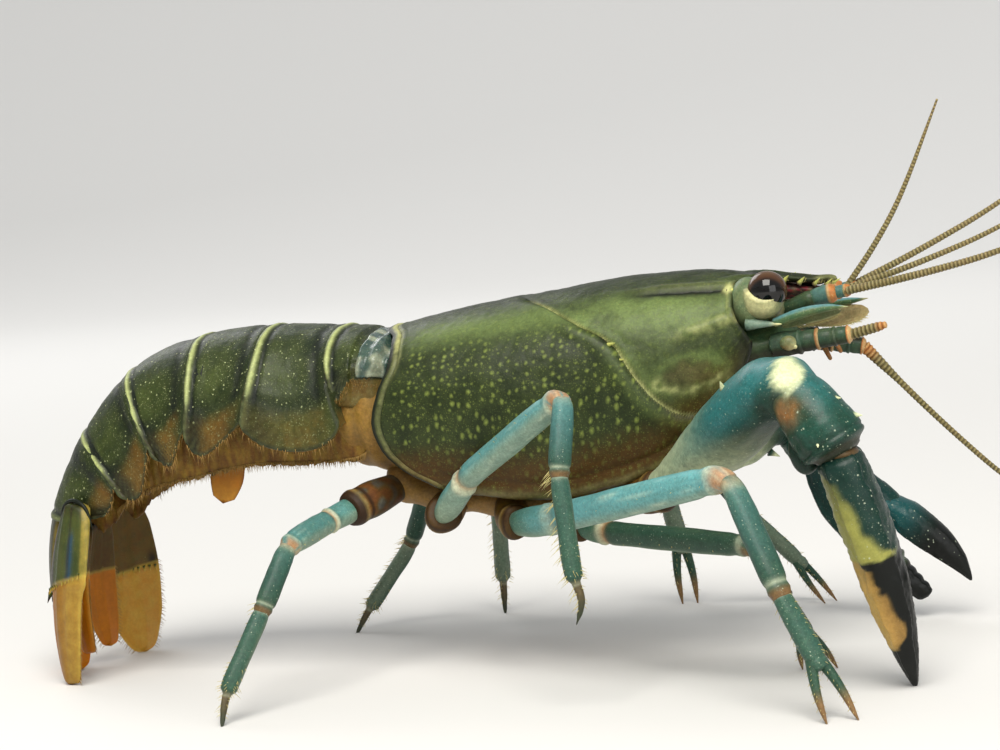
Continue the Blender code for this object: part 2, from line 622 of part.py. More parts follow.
STUB = ((41.5, -6.2, 35.4), (45.0, -7.2, 36.2))
LONG_FLAGELLUM = ((40.6, 6.1, 32.6), (48.3, 9.0, 23.4), (56.0, 15.0, 14.6), (67.0, 25.0, 7.4), (80.0, 38.0, 3.2),
                  (90.0, 50.0, 1.4))


def make_eye(letter):
    side = SIDES[letter]
    centre, cup = on_side(EYE_CENTRE[letter], side), on_side(EYE_STALK[letter], side)
    eye = make_object(f"eye_{letter}", ellipsoid(centre, (EYE_RADIUS,) * 3), BLACK, 0.08)
    stalk = make_object(f"eyestalk_{letter}", ellipsoid(cup, (2.3, 2.3, 2.2)), CREAM)
    root = Route([on_side(STALK_ROOT, side), cup])
    thickness = profile((0, 1.0), (1, 1.2))
    join(stalk, tube(root, 0, root.joints[-1], thickness, thickness, 8, 2))
    clear_of(stalk, eye)
    return eye, stalk


def make_antennule(letter):
    side = SIDES[letter]
    route = Route([on_side(point, side) for point in ANTENNULE], bend=2, side=(0, 1, 0))
    thickness = profile((0, 1.25), (0.3, 1.3), (0.7, 1.1), (1, 0.95))
    peduncle = make_object(f"antennule_{letter}", tube(route, 0, route.joints[-1], thickness, thickness, 8, 4), TEAL)
    for part in ("outer", "inner"):
        points = ANTENNULE_FLAGELLA[f"{letter}_{part}"]
        start = Vector(points[0]) - Vector((0.9, 0, 0.1))
        line = Route([start, *points[1:]], bend=8, side=(0, 1, 0))
        size = FLAGELLUM_SIZE[f"{letter}_{part}"]
        taper = profile((0, size), (0.6, size * 0.8), (1, 0.26))
        join(peduncle, tube(line, 0, line.joints[-1], taper, taper, 5, 7))
    return peduncle


def make_antenna(letter):
    side = SIDES[letter]
    route = Route([on_side(ANTENNA_ROOT, side), on_side(ANTENNA_END[letter], side)], side=(0, 1, 0))
    thickness = profile((0, 1.9), (0.25, 1.7), (0.4, 1.4), (0.9, 1.1), (1, 1.0))
    length = route.joints[-1]
    base = make_object(f"antenna_{letter}", tube(route, 0, length, thickness, thickness, 8, 5), TEAL)
    points = STUB if letter == "R" else LONG_FLAGELLUM
    line = Route(points, bend=9, side=(0, 1, 0))
    size = 0.75 if letter == "R" else 0.7
    taper = profile((0, size), (0.15, size * 0.9), (0.5, size * 0.6), (1, 0.26))
    if letter == "R":
        taper = profile((0, size), (1, 0.5))
    rings = 2 if letter == "R" else 14
    flagellum = make_object(f"antenna_flagellum_{letter}",
                            tube(line, 0.2, line.joints[-1], taper, taper, 5, rings), OLIVE)
    clear_of(flagellum, base)
    return base, flagellum


def make_antenna_scale(letter):
    side = SIDES[letter]
    widths = profile((0, 1.2), (0.25, 2.0), (0.6, 2.1), (0.85, 1.3), (1, 0.3))
    depths = profile((0, 0.6), (1, 0.3))
    mesh = blade(on_side((33.2, 6.6, 36.8), side), on_side((40.4, 5.6, 38.2), side), (0, 1, 0.35 * side),
                 widths, depths, 0.0, 8, (0, 0.25, 0.5, 0.75, 0.92, 1))
    return make_object(f"antenna_scale_{letter}", mesh, TEAL)


def make_face():
    """The block between the antennae, under the rostrum, down to the mouth."""
    half = profile((26, 3.0), (29.5, 5.6), (32, 5.4), (34, 3.2))
    low = profile((26, 30.0), (29.5, 31.4), (32, 32.6), (34, 34.6))
    top = profile((26, 36.0), (30, 36.6), (32, 36.6), (34, 36.4))

    def place(turn, x):
        angle = 2 * math.pi * turn
        z = (low(x) + top(x)) / 2 + (top(x) - low(x)) / 2 * math.sin(angle)
        return Vector((x, half(x) * math.cos(angle), z))

    return make_object("face", wrap(10, [26, 28, 30, 32, 33.3, 34], place), TEAL)


MAXILLIPED = ((15.5, 3.2, 20.8), (23.0, 3.9, 23.4), (30.5, 3.7, 28.6), (32.8, 3.6, 31.0), (34.8, 3.4, 28.8))


def make_maxilliped(letter):
    side = SIDES[letter]
    route = Route([on_side(point, side) for point in MAXILLIPED], bend=2.2, side=(0, 1, 0))
    width = profile((0, 1.3), (0.4, 1.5), (0.7, 1.2), (0.9, 0.8), (1, 0.4))
    depth = profile((0, 1.5), (0.3, 1.9), (0.6, 1.5), (0.9, 0.8), (1, 0.4))
    return make_object(f"maxilliped_{letter}", tube(route, 0, route.joints[-1], width, depth, 8, 9), TAN)


# Assembly


def make_thorax(maxillipeds):
    thorax = make_object("thorax", wrap(10, [-14, -11, -5, 1, 7, 13, 18, 21], thorax_point), TAN)
    routes = [(int(name[0]), leg_route(name)[1]) for name in LEG_JOINTS]
    routes += [(1, claw_route(letter)[1]) for letter in SIDES]
    for pair, route in routes:
        radius = ROOT_RADIUS[pair]
        swell = profile((0, radius * 0.8), (0.6, radius * 1.05), (1, radius * 0.9))
        join(thorax, tube(route, 0, route.joints[1] - GAP / 2, swell, swell, 6, 2))
    for piece in maxillipeds:
        clear_of(thorax, piece)
    return thorax


def centre_over_origin():
    """Moves every piece so that the middle of the animal's box stands on the origin."""
    lows, highs = [], []
    for thing in bpy.data.objects:
        corners = [vert.co for vert in thing.data.vertices]
        lows.append([min(corner[axis] for corner in corners) for axis in range(3)])
        highs.append([max(corner[axis] for corner in corners) for axis in range(3)])
    low = Vector([min(values) for values in zip(*lows)])
    high = Vector([max(values) for values in zip(*highs)])
    shift = Vector((-(low.x + high.x) / 2, -(low.y + high.y) / 2, -low.z))
    for thing in bpy.data.objects:
        for vert in thing.data.vertices:
            vert.co += shift


def build():
    clear_scene()
    shell = make_carapace()
    face = make_face()
    clear_of(face, shell)
    for letter in SIDES:
        make_eye(letter)
        make_antennule(letter)
        clear_of(make_antenna(letter)[0], face)
        clear_of(make_antenna_scale(letter), bpy.data.objects[f"antenna_{letter}"])
    maxillipeds = [make_maxilliped(letter) for letter in SIDES]
    for piece in maxillipeds:
        clear_of(piece, shell)
    make_thorax(maxillipeds)
    for name in LEG_JOINTS:
        make_leg(name)
    for letter in SIDES:
        make_claw_limb(letter)
    somites = [make_somite(number) for number in range(1, 7)]
    clear_of(somites[0], shell)
    clear_of(somites[0], bpy.data.objects["thorax"])
    make_telson()
    for name in UROPODS:
        part = make_uropod(name)
        clear_of(part, somites[5])
    centre_over_origin()


if __name__ == "__main__":
    build()
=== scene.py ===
"""The look of a still, life-size crayfish of the genus Cherax.

Each piece is shaped in the millimetres of the animal's own design, where X runs forward, Y to its left and Z
up from the floor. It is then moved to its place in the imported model.
"""
import math
import random

import bmesh
import bpy
from mathutils import Matrix, Vector, noise


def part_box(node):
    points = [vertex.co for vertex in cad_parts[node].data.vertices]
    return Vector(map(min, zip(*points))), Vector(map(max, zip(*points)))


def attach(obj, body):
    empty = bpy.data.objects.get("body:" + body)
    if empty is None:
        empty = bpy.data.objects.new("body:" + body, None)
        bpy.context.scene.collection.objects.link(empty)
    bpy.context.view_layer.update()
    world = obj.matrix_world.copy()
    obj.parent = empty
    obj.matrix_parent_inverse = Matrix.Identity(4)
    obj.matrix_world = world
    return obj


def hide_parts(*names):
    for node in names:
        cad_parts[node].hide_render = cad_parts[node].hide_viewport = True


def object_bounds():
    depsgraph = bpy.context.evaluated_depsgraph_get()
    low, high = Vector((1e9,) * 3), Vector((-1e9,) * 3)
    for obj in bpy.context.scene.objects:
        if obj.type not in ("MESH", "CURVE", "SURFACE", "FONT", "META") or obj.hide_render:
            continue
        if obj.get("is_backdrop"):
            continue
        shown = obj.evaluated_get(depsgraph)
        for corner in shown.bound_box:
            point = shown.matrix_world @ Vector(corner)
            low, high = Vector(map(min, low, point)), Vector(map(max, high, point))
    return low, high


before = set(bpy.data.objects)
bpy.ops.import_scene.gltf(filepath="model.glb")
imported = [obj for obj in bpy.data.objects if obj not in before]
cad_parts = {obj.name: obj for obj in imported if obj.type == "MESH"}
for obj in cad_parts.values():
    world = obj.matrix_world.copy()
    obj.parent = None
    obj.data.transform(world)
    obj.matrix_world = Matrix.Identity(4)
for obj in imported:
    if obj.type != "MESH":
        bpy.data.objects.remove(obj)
cad_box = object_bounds()

# The right eye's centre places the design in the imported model
RIGHT_EYE = (32.0, -6.5, 41.0)
eye_low, eye_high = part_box("eye_R")
SHIFT = (Vector(eye_low) + Vector(eye_high)) / 2 - Vector(RIGHT_EYE) * 0.001
TO_ROW = Matrix.Translation(SHIFT) @ Matrix.Scale(0.001, 4)

SIDES = {"R": -1, "L": 1}

# Marks are shares from 0 to 1, kept on the points of a mesh. The finish turns them into colours
MARKS = ("pale", "warm", "cool", "dark", "spot", "wrap")
# The wrap mark is a length down the shell's side, as a share of this many millimetres
WRAP_LENGTH = 40.0

# Colours as red, green and blue
CREAM = (0.58, 0.55, 0.27)

CARAPACE_TONES = {
    "base": (0.014, 0.022, 0.005), "second": (0.026, 0.037, 0.009), "cool": (0.118, 0.165, 0.046),
    "warm": (0.062, 0.027, 0.003), "dark": (0.008, 0.011, 0.005), "pale": (0.50, 0.50, 0.20),
    "speck": (0.20, 0.25, 0.050),
}
ROSTRUM_TONES = {
    "base": (0.050, 0.028, 0.022), "second": (0.080, 0.042, 0.026), "cool": (0.44, 0.20, 0.15),
    "warm": (0.21, 0.020, 0.030), "dark": (0.012, 0.009, 0.009), "pale": (0.48, 0.49, 0.13),
    "speck": (0.40, 0.33, 0.16),
}
ABDOMEN_TONES = {
    "base": (0.010, 0.018, 0.004), "second": (0.024, 0.034, 0.007), "cool": (0.052, 0.070, 0.014),
    "warm": (0.135, 0.062, 0.006), "dark": (0.005, 0.008, 0.004), "pale": (0.42, 0.47, 0.18),
    "speck": (0.38, 0.42, 0.20),
}
NECK_TONES = {
    "base": (0.050, 0.085, 0.062), "second": (0.085, 0.120, 0.080), "cool": (0.035, 0.120, 0.115),
    "warm": (0.30, 0.20, 0.07), "dark": (0.008, 0.016, 0.012), "pale": (0.42, 0.44, 0.30),
    "speck": (0.55, 0.62, 0.50),
}
UNDERSIDE_TONES = {
    "base": (0.24, 0.145, 0.020), "second": (0.14, 0.082, 0.011), "cool": (0.15, 0.30, 0.33),
    "warm": (0.36, 0.10, 0.018), "dark": (0.030, 0.014, 0.005), "pale": (0.52, 0.42, 0.17),
    "speck": (0.55, 0.45, 0.22),
}
TAIL_TONES = {
    "base": (0.036, 0.052, 0.012), "second": (0.060, 0.072, 0.016), "cool": (0.014, 0.055, 0.100),
    "warm": (0.44, 0.140, 0.003), "dark": (0.014, 0.008, 0.003), "pale": (0.50, 0.36, 0.06),
    "speck": (0.40, 0.42, 0.18),
}
LEG_TONES = {
    "base": (0.044, 0.112, 0.072), "second": (0.062, 0.135, 0.078), "cool": (0.140, 0.390, 0.400),
    "warm": (0.52, 0.215, 0.060), "dark": (0.012, 0.034, 0.022), "pale": (0.55, 0.60, 0.42),
    "speck": (0.50, 0.58, 0.42),
}
CLAW_TONES = {
    "base": (0.014, 0.074, 0.050), "second": (0.012, 0.046, 0.026), "cool": (0.028, 0.180, 0.190),
    "warm": (0.52, 0.17, 0.02), "dark": (0.006, 0.018, 0.012), "pale": (0.62, 0.66, 0.38),
    "speck": (0.48, 0.56, 0.40),
}
HAND_TONES = {
    "base": (0.003, 0.018, 0.009), "second": (0.006, 0.027, 0.014), "cool": (0.008, 0.085, 0.090),
    "warm": (0.50, 0.29, 0.075), "dark": (0.003, 0.004, 0.003), "pale": (0.34, 0.33, 0.075),
    "speck": (0.50, 0.56, 0.42),
}
HEAD_TONES = {
    "base": (0.038, 0.110, 0.052), "second": (0.080, 0.130, 0.050), "cool": (0.110, 0.270, 0.300),
    "warm": (0.47, 0.155, 0.035), "dark": (0.020, 0.018, 0.010), "pale": CREAM, "speck": (0.45, 0.50, 0.26),
}
FEELER_TONES = {
    "base": (0.150, 0.115, 0.040), "second": (0.190, 0.135, 0.055), "cool": (0.105, 0.125, 0.045),
    "warm": (0.50, 0.17, 0.035), "dark": (0.045, 0.032, 0.012), "pale": (0.48, 0.40, 0.19),
    "speck": CREAM,
}


# Curves


def profile(*knots):
    """A smooth function through (place, value) knots, level beyond both ends."""
    places = [knot[0] for knot in knots]
    values = [knot[1] for knot in knots]
    spans = [b - a for a, b in zip(places, places[1:])]
    slants = [(b - a) / span for a, b, span in zip(values, values[1:], spans)]
    slopes = [slants[0]]
    for before, after in zip(slants, slants[1:]):
        slopes.append(0.0 if before * after <= 0 else 2 * before * after / (before + after))
    slopes.append(slants[-1])

    def value(place):
        if place <= places[0]:
            return values[0]
        if place >= places[-1]:
            return values[-1]
        index = 0
        while places[index + 1] < place:
            index += 1
        t = (place - places[index]) / spans[index]
        rise = values[index + 1] - values[index]
        start, end = slopes[index] * spans[index], slopes[index + 1] * spans[index]
        return values[index] + t * (start + t * (3 * rise - 2 * start - end + t * (start + end - 2 * rise)))

    return value


def hump(offset, width):
    """1 at no offset, falling smoothly to nothing a few widths away."""
    return math.exp(-(offset / width) ** 2)


def ramp(value, start, end):
    """0 at start and 1 at end, smooth between."""
    t = min(max((value - start) / (end - start), 0.0), 1.0)
    return t * t * (3 - 2 * t)


def mix(a, b, share):
    return a + (b - a) * share


def rough(point, scale, seed=0.0):
    """Smooth random height between about -1 and 1."""
    return noise.noise(Vector(point) * scale + Vector((seed, seed * 0.7, -seed)))


def on_side(point, side):
    """A point given for the left side, moved to the side asked for."""
    return (point[0], side * point[1], point[2])


def blunt(lateral):
    """A place across a blade, from -1 to 1, moved outwards so that the blade is fuller at its edges."""
    return math.copysign(abs(lateral) ** 0.8, lateral)


def rounded(along, first, last):
    """1 along a length, closing to 0 as a quarter circle does, over its first and last shares."""
    beyond = max((first - along) / first if first else 0.0, (along - (1 - last)) / last, 0.0)
    return math.sqrt(max(1 - beyond ** 2, 0.0))


def blade_frame(start, end, broad):
    """The directions along, across and through a blade that is wide along broad."""
    ahead = (end - start).normalized()
    across = Vector(broad)
    across = (across - ahead * across.dot(ahead)).normalized()
    return ahead, across, ahead.cross(across)


class Route:
    """A smooth line through space, measured along its length, with a place on it for each joint."""

    STEP = 0.25
    BEND_STEPS = 12

    def __init__(self, points, bend=2.0, side=(0, 0, 1)):
        self.side = Vector(side).normalized()
        corners = [Vector(point) for point in points]
        line = [corners[0]]
        marks = [0]
        for before, corner, after in zip(corners, corners[1:], corners[2:]):
            first = corner + (before - corner).normalized() * min(bend, (corner - before).length * 0.48)
            last = corner + (after - corner).normalized() * min(bend, (after - corner).length * 0.48)
            for step in range(self.BEND_STEPS + 1):
                t = step / self.BEND_STEPS
                line.append(first * (1 - t) ** 2 + corner * 2 * t * (1 - t) + last * t * t)
                if step == self.BEND_STEPS // 2:
                    marks.append(len(line) - 1)
        line.append(corners[-1])
        marks.append(len(line) - 1)
        self.line, self.lengths = line, [0.0]
        for a, b in zip(line, line[1:]):
            self.lengths.append(self.lengths[-1] + (b - a).length)
        self.joints = [self.lengths[mark] for mark in marks]

    def point(self, distance):
        if distance <= 0:
            return self.line[0] + (self.line[1] - self.line[0]).normalized() * distance
        if distance >= self.lengths[-1]:
            ahead = (self.line[-1] - self.line[-2]).normalized()
            return self.line[-1] + ahead * (distance - self.lengths[-1])
        index = 0
        while self.lengths[index + 1] < distance:
            index += 1
        span = self.lengths[index + 1] - self.lengths[index]
        return self.line[index].lerp(self.line[index + 1], (distance - self.lengths[index]) / span)

    def frame(self, distance):
        """The point, its direction, and the two directions across it."""
        ahead = (self.point(distance + self.STEP) - self.point(distance - self.STEP)).normalized()
        side = (self.side - ahead * self.side.dot(ahead)).normalized()
        return self.point(distance), ahead, side, ahead.cross(side)


# Meshes


class Shape:
    """A mesh in the making, in millimetres, with the marks on its points."""

    CAP = 5

    def __init__(self):
        self.mesh = bmesh.new()
        self.layers = {mark: self.mesh.verts.layers.float.new(mark) for mark in MARKS}

    def grid(self, columns, rows, place, rolled=True):
        """A grid whose points go where place(across, along) says, rolled into a tube or left a sheet."""
        made = bmesh.ops.create_grid(self.mesh, x_segments=columns, y_segments=rows, size=1.0)["verts"]
        for vert in made:
            column = round((vert.co.x + 1) / 2 * columns)
            row = round((vert.co.y + 1) / 2 * rows)
            if rolled:
                column %= columns
            point, marks = place(column / columns, row / rows)
            vert.co = point
            for mark, value in marks.items():
                vert[self.layers[mark]] = min(max(value, 0.0), 1.0)
        if rolled:
            bmesh.ops.remove_doubles(self.mesh, verts=made, dist=0.0005)
            made = [vert for vert in made if vert.is_valid]
            rims = {edge for vert in made for edge in vert.link_edges if edge.is_boundary}
            if rims:
                bmesh.ops.holes_fill(self.mesh, edges=list(rims))

    def tube(self, route, start, end, radius, marks=None, around=20, rings=30, cap=0.6, squash=1.0):
        """A length of limb with rounded ends. At a quarter turn its angle points to the route's side."""
        total = rings + 2 * self.CAP

        def place(across, along):
            row = round(along * total)
            t = min(max((row - self.CAP) / rings, 0.0), 1.0)
            shrink, slide = 1.0, 0.0
            if row < self.CAP:
                tilt = row / self.CAP * math.pi / 2
                shrink, slide = math.sin(tilt), -cap * math.cos(tilt)
            elif row > self.CAP + rings:
                tilt = (total - row) / self.CAP * math.pi / 2
                shrink, slide = math.sin(tilt), cap * math.cos(tilt)
            angle = 2 * math.pi * across
            distance = mix(start, end, t)
            centre, _, side, other = route.frame(distance)
            ahead = (route.point(distance + 0.1) - route.point(distance - 0.1)).normalized()
            reach = radius(t, angle) * shrink
            point = centre + ahead * slide
            point += other * reach * math.cos(angle) + side * reach * squash * math.sin(angle)
            return point, (marks(t, angle, point) if marks else {})

        self.grid(around, total, place)

    def ball(self, centre, radii, marks=None, around=24, rings=16):
        """An ellipsoid."""
        middle = Vector(centre)

        def place(across, along):
            angle, tilt = 2 * math.pi * across, math.pi * along
            level = math.sin(tilt)
            point = middle + Vector((radii[0] * level * math.cos(angle), radii[1] * level * math.sin(angle),
                                     -radii[2] * math.cos(tilt)))
            return point, (marks(point) if marks else {})

        self.grid(around, rings, place)

    def cone(self, base, tip, radius, marks=None, around=10):
        """A spine from base to tip, pale towards its tip unless its marks say otherwise."""
        start, end = Vector(base), Vector(tip)
        middle = start.lerp(end, 0.55)
        route = Route([start, middle, end], bend=(end - start).length * 0.3, side=(0.31, 0.52, 0.8))
        taper = profile((0, radius * 1.15), (0.35, radius * 0.72), (0.8, radius * 0.3), (1, radius * 0.1))
        tint = marks or (lambda t: {"pale": ramp(t, 0.1, 0.7)})
        self.tube(route, 0, route.joints[-1], lambda t, angle: taper(t), lambda t, angle, point: tint(t),
                  around, 8, radius * 0.1)

    def blade(self, base, tip, broad, widths, depths, bow=0.0, marks=None, around=40, rings=44, relief=None):
        """A flat lobe from base to tip, wide along broad and bowed through its thickness."""
        start, end = Vector(base), Vector(tip)
        _, across, through = blade_frame(start, end, broad)

        def place(turn, along):
            angle = 2 * math.pi * turn
            lateral = blunt(math.cos(angle))
            arch = bow * (4 * along * (1 - along) + 0.6 * (1 - lateral * lateral))
            close = rounded(along, 0.03, 0.03)
            centre = start.lerp(end, along) + across * widths(along) * lateral * close
            height = depths(along) * math.sin(angle) * close
            if relief:
                height += relief(along, lateral) * math.copysign(1, math.sin(angle)) * abs(math.sin(angle))
            point = centre + through * (height + arch)
            return point, (marks(along, lateral, point) if marks else {})

        self.grid(around, rings, place)


def finished(name, mesh, finish, slot):
    """The piece of a mesh in millimetres. It rides on the body, and none of it reaches below the floor."""
    for vert in mesh.verts:
        vert.co.z = max(vert.co.z, 0.0)
    bmesh.ops.recalc_face_normals(mesh, faces=mesh.faces)
    bmesh.ops.transform(mesh, matrix=TO_ROW, verts=mesh.verts)
    data = bpy.data.meshes.new(name)
    mesh.to_mesh(data)
    mesh.free()
    data.shade_smooth()
    data.materials.append(finish)
    piece = bpy.data.objects.new(name, data)
    bpy.context.scene.collection.objects.link(piece)
    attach(piece, "root")
    return piece


def show(name, shape, finish, slot, *nodes, thickness=0.0):
    """Finish a piece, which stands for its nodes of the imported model. A sheet gets a thickness."""
    piece = finished(name, shape.mesh, finish, slot)
    if thickness:
        wall = piece.modifiers.new("wall", "SOLIDIFY")
        wall.thickness = thickness * 0.001
        wall.offset = -1.0
        wall.use_even_offset = False
    if nodes:
        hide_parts(*nodes)


# A bristle has three sides and three rows of faces. Its patch of the unwrap may overlap a neighbour's
BRISTLE_POINTS = 4
BRISTLE_ROWS = 3
PATCH_STEP = 0.001
DROOP = 0.12


def bristles(name, hairs, finish, slot, thickness):
    """Many thin bristles in one mesh. Each gives its root, direction, length and place on the unwrap."""
    mesh = bmesh.new()
    patch = mesh.loops.layers.uv.new("OFBake")
    columns = BRISTLE_POINTS * len(hairs) - 1
    sides = BRISTLE_POINTS - 1
    bmesh.ops.create_grid(mesh, x_segments=columns, y_segments=BRISTLE_ROWS, size=1.0)
    between = []
    for face in mesh.faces:
        middle = sum(vert.co.x for vert in face.verts) / len(face.verts)
        if int((middle + 1) / 2 * columns) % BRISTLE_POINTS == sides:
            between.append(face)
    bmesh.ops.delete(mesh, geom=between, context="FACES")
    for face in mesh.faces:
        for loop in face.loops:
            column = round((loop.vert.co.x + 1) / 2 * columns)
            row = round((loop.vert.co.y + 1) / 2 * BRISTLE_ROWS)
            spot = hairs[column // BRISTLE_POINTS][3]
            loop[patch].uv = (spot[0] + PATCH_STEP * (column % BRISTLE_POINTS), spot[1] + PATCH_STEP * row)
    for vert in mesh.verts:
        column = round((vert.co.x + 1) / 2 * columns)
        along = round((vert.co.y + 1) / 2 * BRISTLE_ROWS) / BRISTLE_ROWS
        root, direction, length, _ = hairs[column // BRISTLE_POINTS]
        ahead = Vector(direction).normalized()
        side = ahead.orthogonal().normalized()
        other = ahead.cross(side)
        angle = column % BRISTLE_POINTS / sides * 2 * math.pi
        reach = thickness * (1 - along) ** 0.7
        vert.co = (Vector(root) + ahead * length * along + Vector((0, 0, -DROOP * length * along * along))
                   + side * reach * math.cos(angle) + other * reach * math.sin(angle))
    bmesh.ops.remove_doubles(mesh, verts=mesh.verts, dist=0.0005)
    rims = [edge for edge in mesh.edges if edge.is_boundary]
    bmesh.ops.holes_fill(mesh, edges=rims)
    finished(name, mesh, finish, slot)


# Bristles wait here until all pieces are made
COATS = {"leg_bristles": [], "belly_fringe": [], "tail_fringe": [], "head_bristles": [], "mouth_bristles": []}
CHANCE = random.Random(7)


def grow(coat, root, direction, length, spot):
    """Add a bristle to a coat. Its spot is where its root lies on the unwrap."""
    COATS[coat].append((root, direction, length, spot))


def limb_hairs(coat, route, start, end, radius, turns, count, length, cell):
    """Rows of bristles along a limb, one row for each turn round it."""
    for turn in turns:
        for step in range(count):
            t = (step + CHANCE.random()) / count
            centre, ahead, side, other = route.frame(mix(start, end, t))
            angle = turn + CHANCE.uniform(-0.3, 0.3)
            out = other * math.cos(angle) + side * math.sin(angle)
            spot = (cell[0] + 0.02 * (turn % math.tau), cell[1] + 0.1 * t)
            grow(coat, centre + out * radius(t) * 0.92, out + ahead * CHANCE.uniform(0.3, 1.0),
                 length * CHANCE.uniform(0.55, 1.1), spot)


# Finishes


class Finish:
    """A procedural material, put together node by node. Its lengths are in millimetres."""

    def __init__(self, name, roughness=0.35, coat=0.0, coat_roughness=0.1, subsurface=0.0, specular=0.2):
        self.material = bpy.data.materials.new(name)
        self.material.use_nodes = True
        self.tree = self.material.node_tree
        self.shader = self.tree.nodes["Principled BSDF"]
        self.shader.inputs["Roughness"].default_value = roughness
        self.shader.inputs["Specular IOR Level"].default_value = specular
        self.shader.inputs["Coat Weight"].default_value = coat
        self.shader.inputs["Coat Roughness"].default_value = coat_roughness
        self.shader.inputs["Subsurface Weight"].default_value = subsurface
        self.shader.inputs["Subsurface Scale"].default_value = 0.001
        coordinates = self.tree.nodes.new("ShaderNodeTexCoord")
        mapping = self.add("ShaderNodeMapping", Vector=coordinates.outputs["Object"])
        mapping.inputs["Location"].default_value = -SHIFT * 1000
        mapping.inputs["Scale"].default_value = (1000, 1000, 1000)
        self.place = mapping.outputs["Vector"]

    def add(self, kind, **inputs):
        node = self.tree.nodes.new(kind)
        for key, value in inputs.items():
            self.plug(node.inputs[key.replace("_", " ")], value)
        return node

    def plug(self, socket, value):
        if isinstance(value, bpy.types.NodeSocket):
            self.tree.links.new(value, socket)
        else:
            socket.default_value = value

    def sum(self, operation, a, b=0.0, c=0.0, clamp=False):
        node = self.tree.nodes.new("ShaderNodeMath")
        node.operation = operation
        node.use_clamp = clamp
        for socket, value in zip(node.inputs, (a, b, c)):
            self.plug(socket, value)
        return node.outputs["Value"]

    def blend(self, share, a, b):
        node = self.tree.nodes.new("ShaderNodeMix")
        node.data_type = "RGBA"
        self.plug(node.inputs[0], share)
        for socket, value in ((node.inputs[6], a), (node.inputs[7], b)):
            self.plug(socket, (*value, 1.0) if isinstance(value, tuple) and len(value) == 3 else value)
        return node.outputs[2]

    def mark(self, name):
        node = self.tree.nodes.new("ShaderNodeAttribute")
        node.attribute_name = name
        return node.outputs["Fac"]

    def cloud(self, scale, detail=3.0, roughness=0.55):
        """Noise from 0 to 1, with lumps of about 1/scale millimetres."""
        return self.add("ShaderNodeTexNoise", Vector=self.place, Scale=scale, Detail=detail,
                        Roughness=roughness).outputs["Fac"]

    def spread(self, value, low, high, out_low=0.0, out_high=1.0):
        """A value from low to high, stretched to run from out_low to out_high."""
        return self.add("ShaderNodeMapRange", Value=value, From_Min=low, From_Max=high, To_Min=out_low,
                        To_Max=out_high).outputs["Result"]

    def ragged(self, name, fray, clouds):
        """A mark with an uneven border."""
        mark = self.mark(name)
        border = self.sum("MULTIPLY", mark, self.sum("SUBTRACT", 1.0, mark))
        shift = self.sum("MULTIPLY", self.sum("SUBTRACT", clouds, 0.5), fray * 8)
        return self.sum("MULTIPLY_ADD", border, shift, mark, clamp=True)

    def specks(self, scale, size, sharp, wrapped=False):
        """Roundish specks on a jittered grid, some larger than others, in space or laid round the piece."""
        place = self.place
        if wrapped:
            along = self.add("ShaderNodeSeparateXYZ", Vector=self.place).outputs["X"]
            place = self.add("ShaderNodeCombineXYZ", X=along,
                             Y=self.sum("MULTIPLY", self.mark("wrap"), WRAP_LENGTH)).outputs["Vector"]
        shake = self.add("ShaderNodeTexNoise", Vector=self.place, Scale=scale * 1.7, Detail=1.0)
        moved = self.tree.nodes.new("ShaderNodeVectorMath")
        moved.operation = "MULTIPLY_ADD"
        self.plug(moved.inputs[0], shake.outputs["Color"])
        moved.inputs[1].default_value = (0.35 / scale,) * 3
        self.plug(moved.inputs[2], place)
        cells = self.tree.nodes.new("ShaderNodeTexVoronoi")
        cells.voronoi_dimensions = "2D" if wrapped else "3D"
        self.plug(cells.inputs["Vector"], moved.outputs["Vector"])
        self.plug(cells.inputs["Scale"], scale)
        self.plug(cells.inputs["Randomness"], 0.75 if wrapped else 0.85)
        chance = self.add("ShaderNodeSeparateColor", Color=cells.outputs["Color"]).outputs[0]
        radius = self.sum("MULTIPLY_ADD", chance, size * 0.7, size * 0.5)
        edge = self.sum("SUBTRACT", radius, cells.outputs["Distance"])
        return self.sum("MULTIPLY", edge, sharp, clamp=True)

    def bump(self, height, strength=0.4, distance=0.1):
        node = self.add("ShaderNodeBump", Height=height, Strength=strength, Distance=distance * 0.001)
        self.tree.links.new(node.outputs["Normal"], self.shader.inputs["Normal"])

    def colour(self, value):
        self.plug(self.shader.inputs["Base Color"], value)


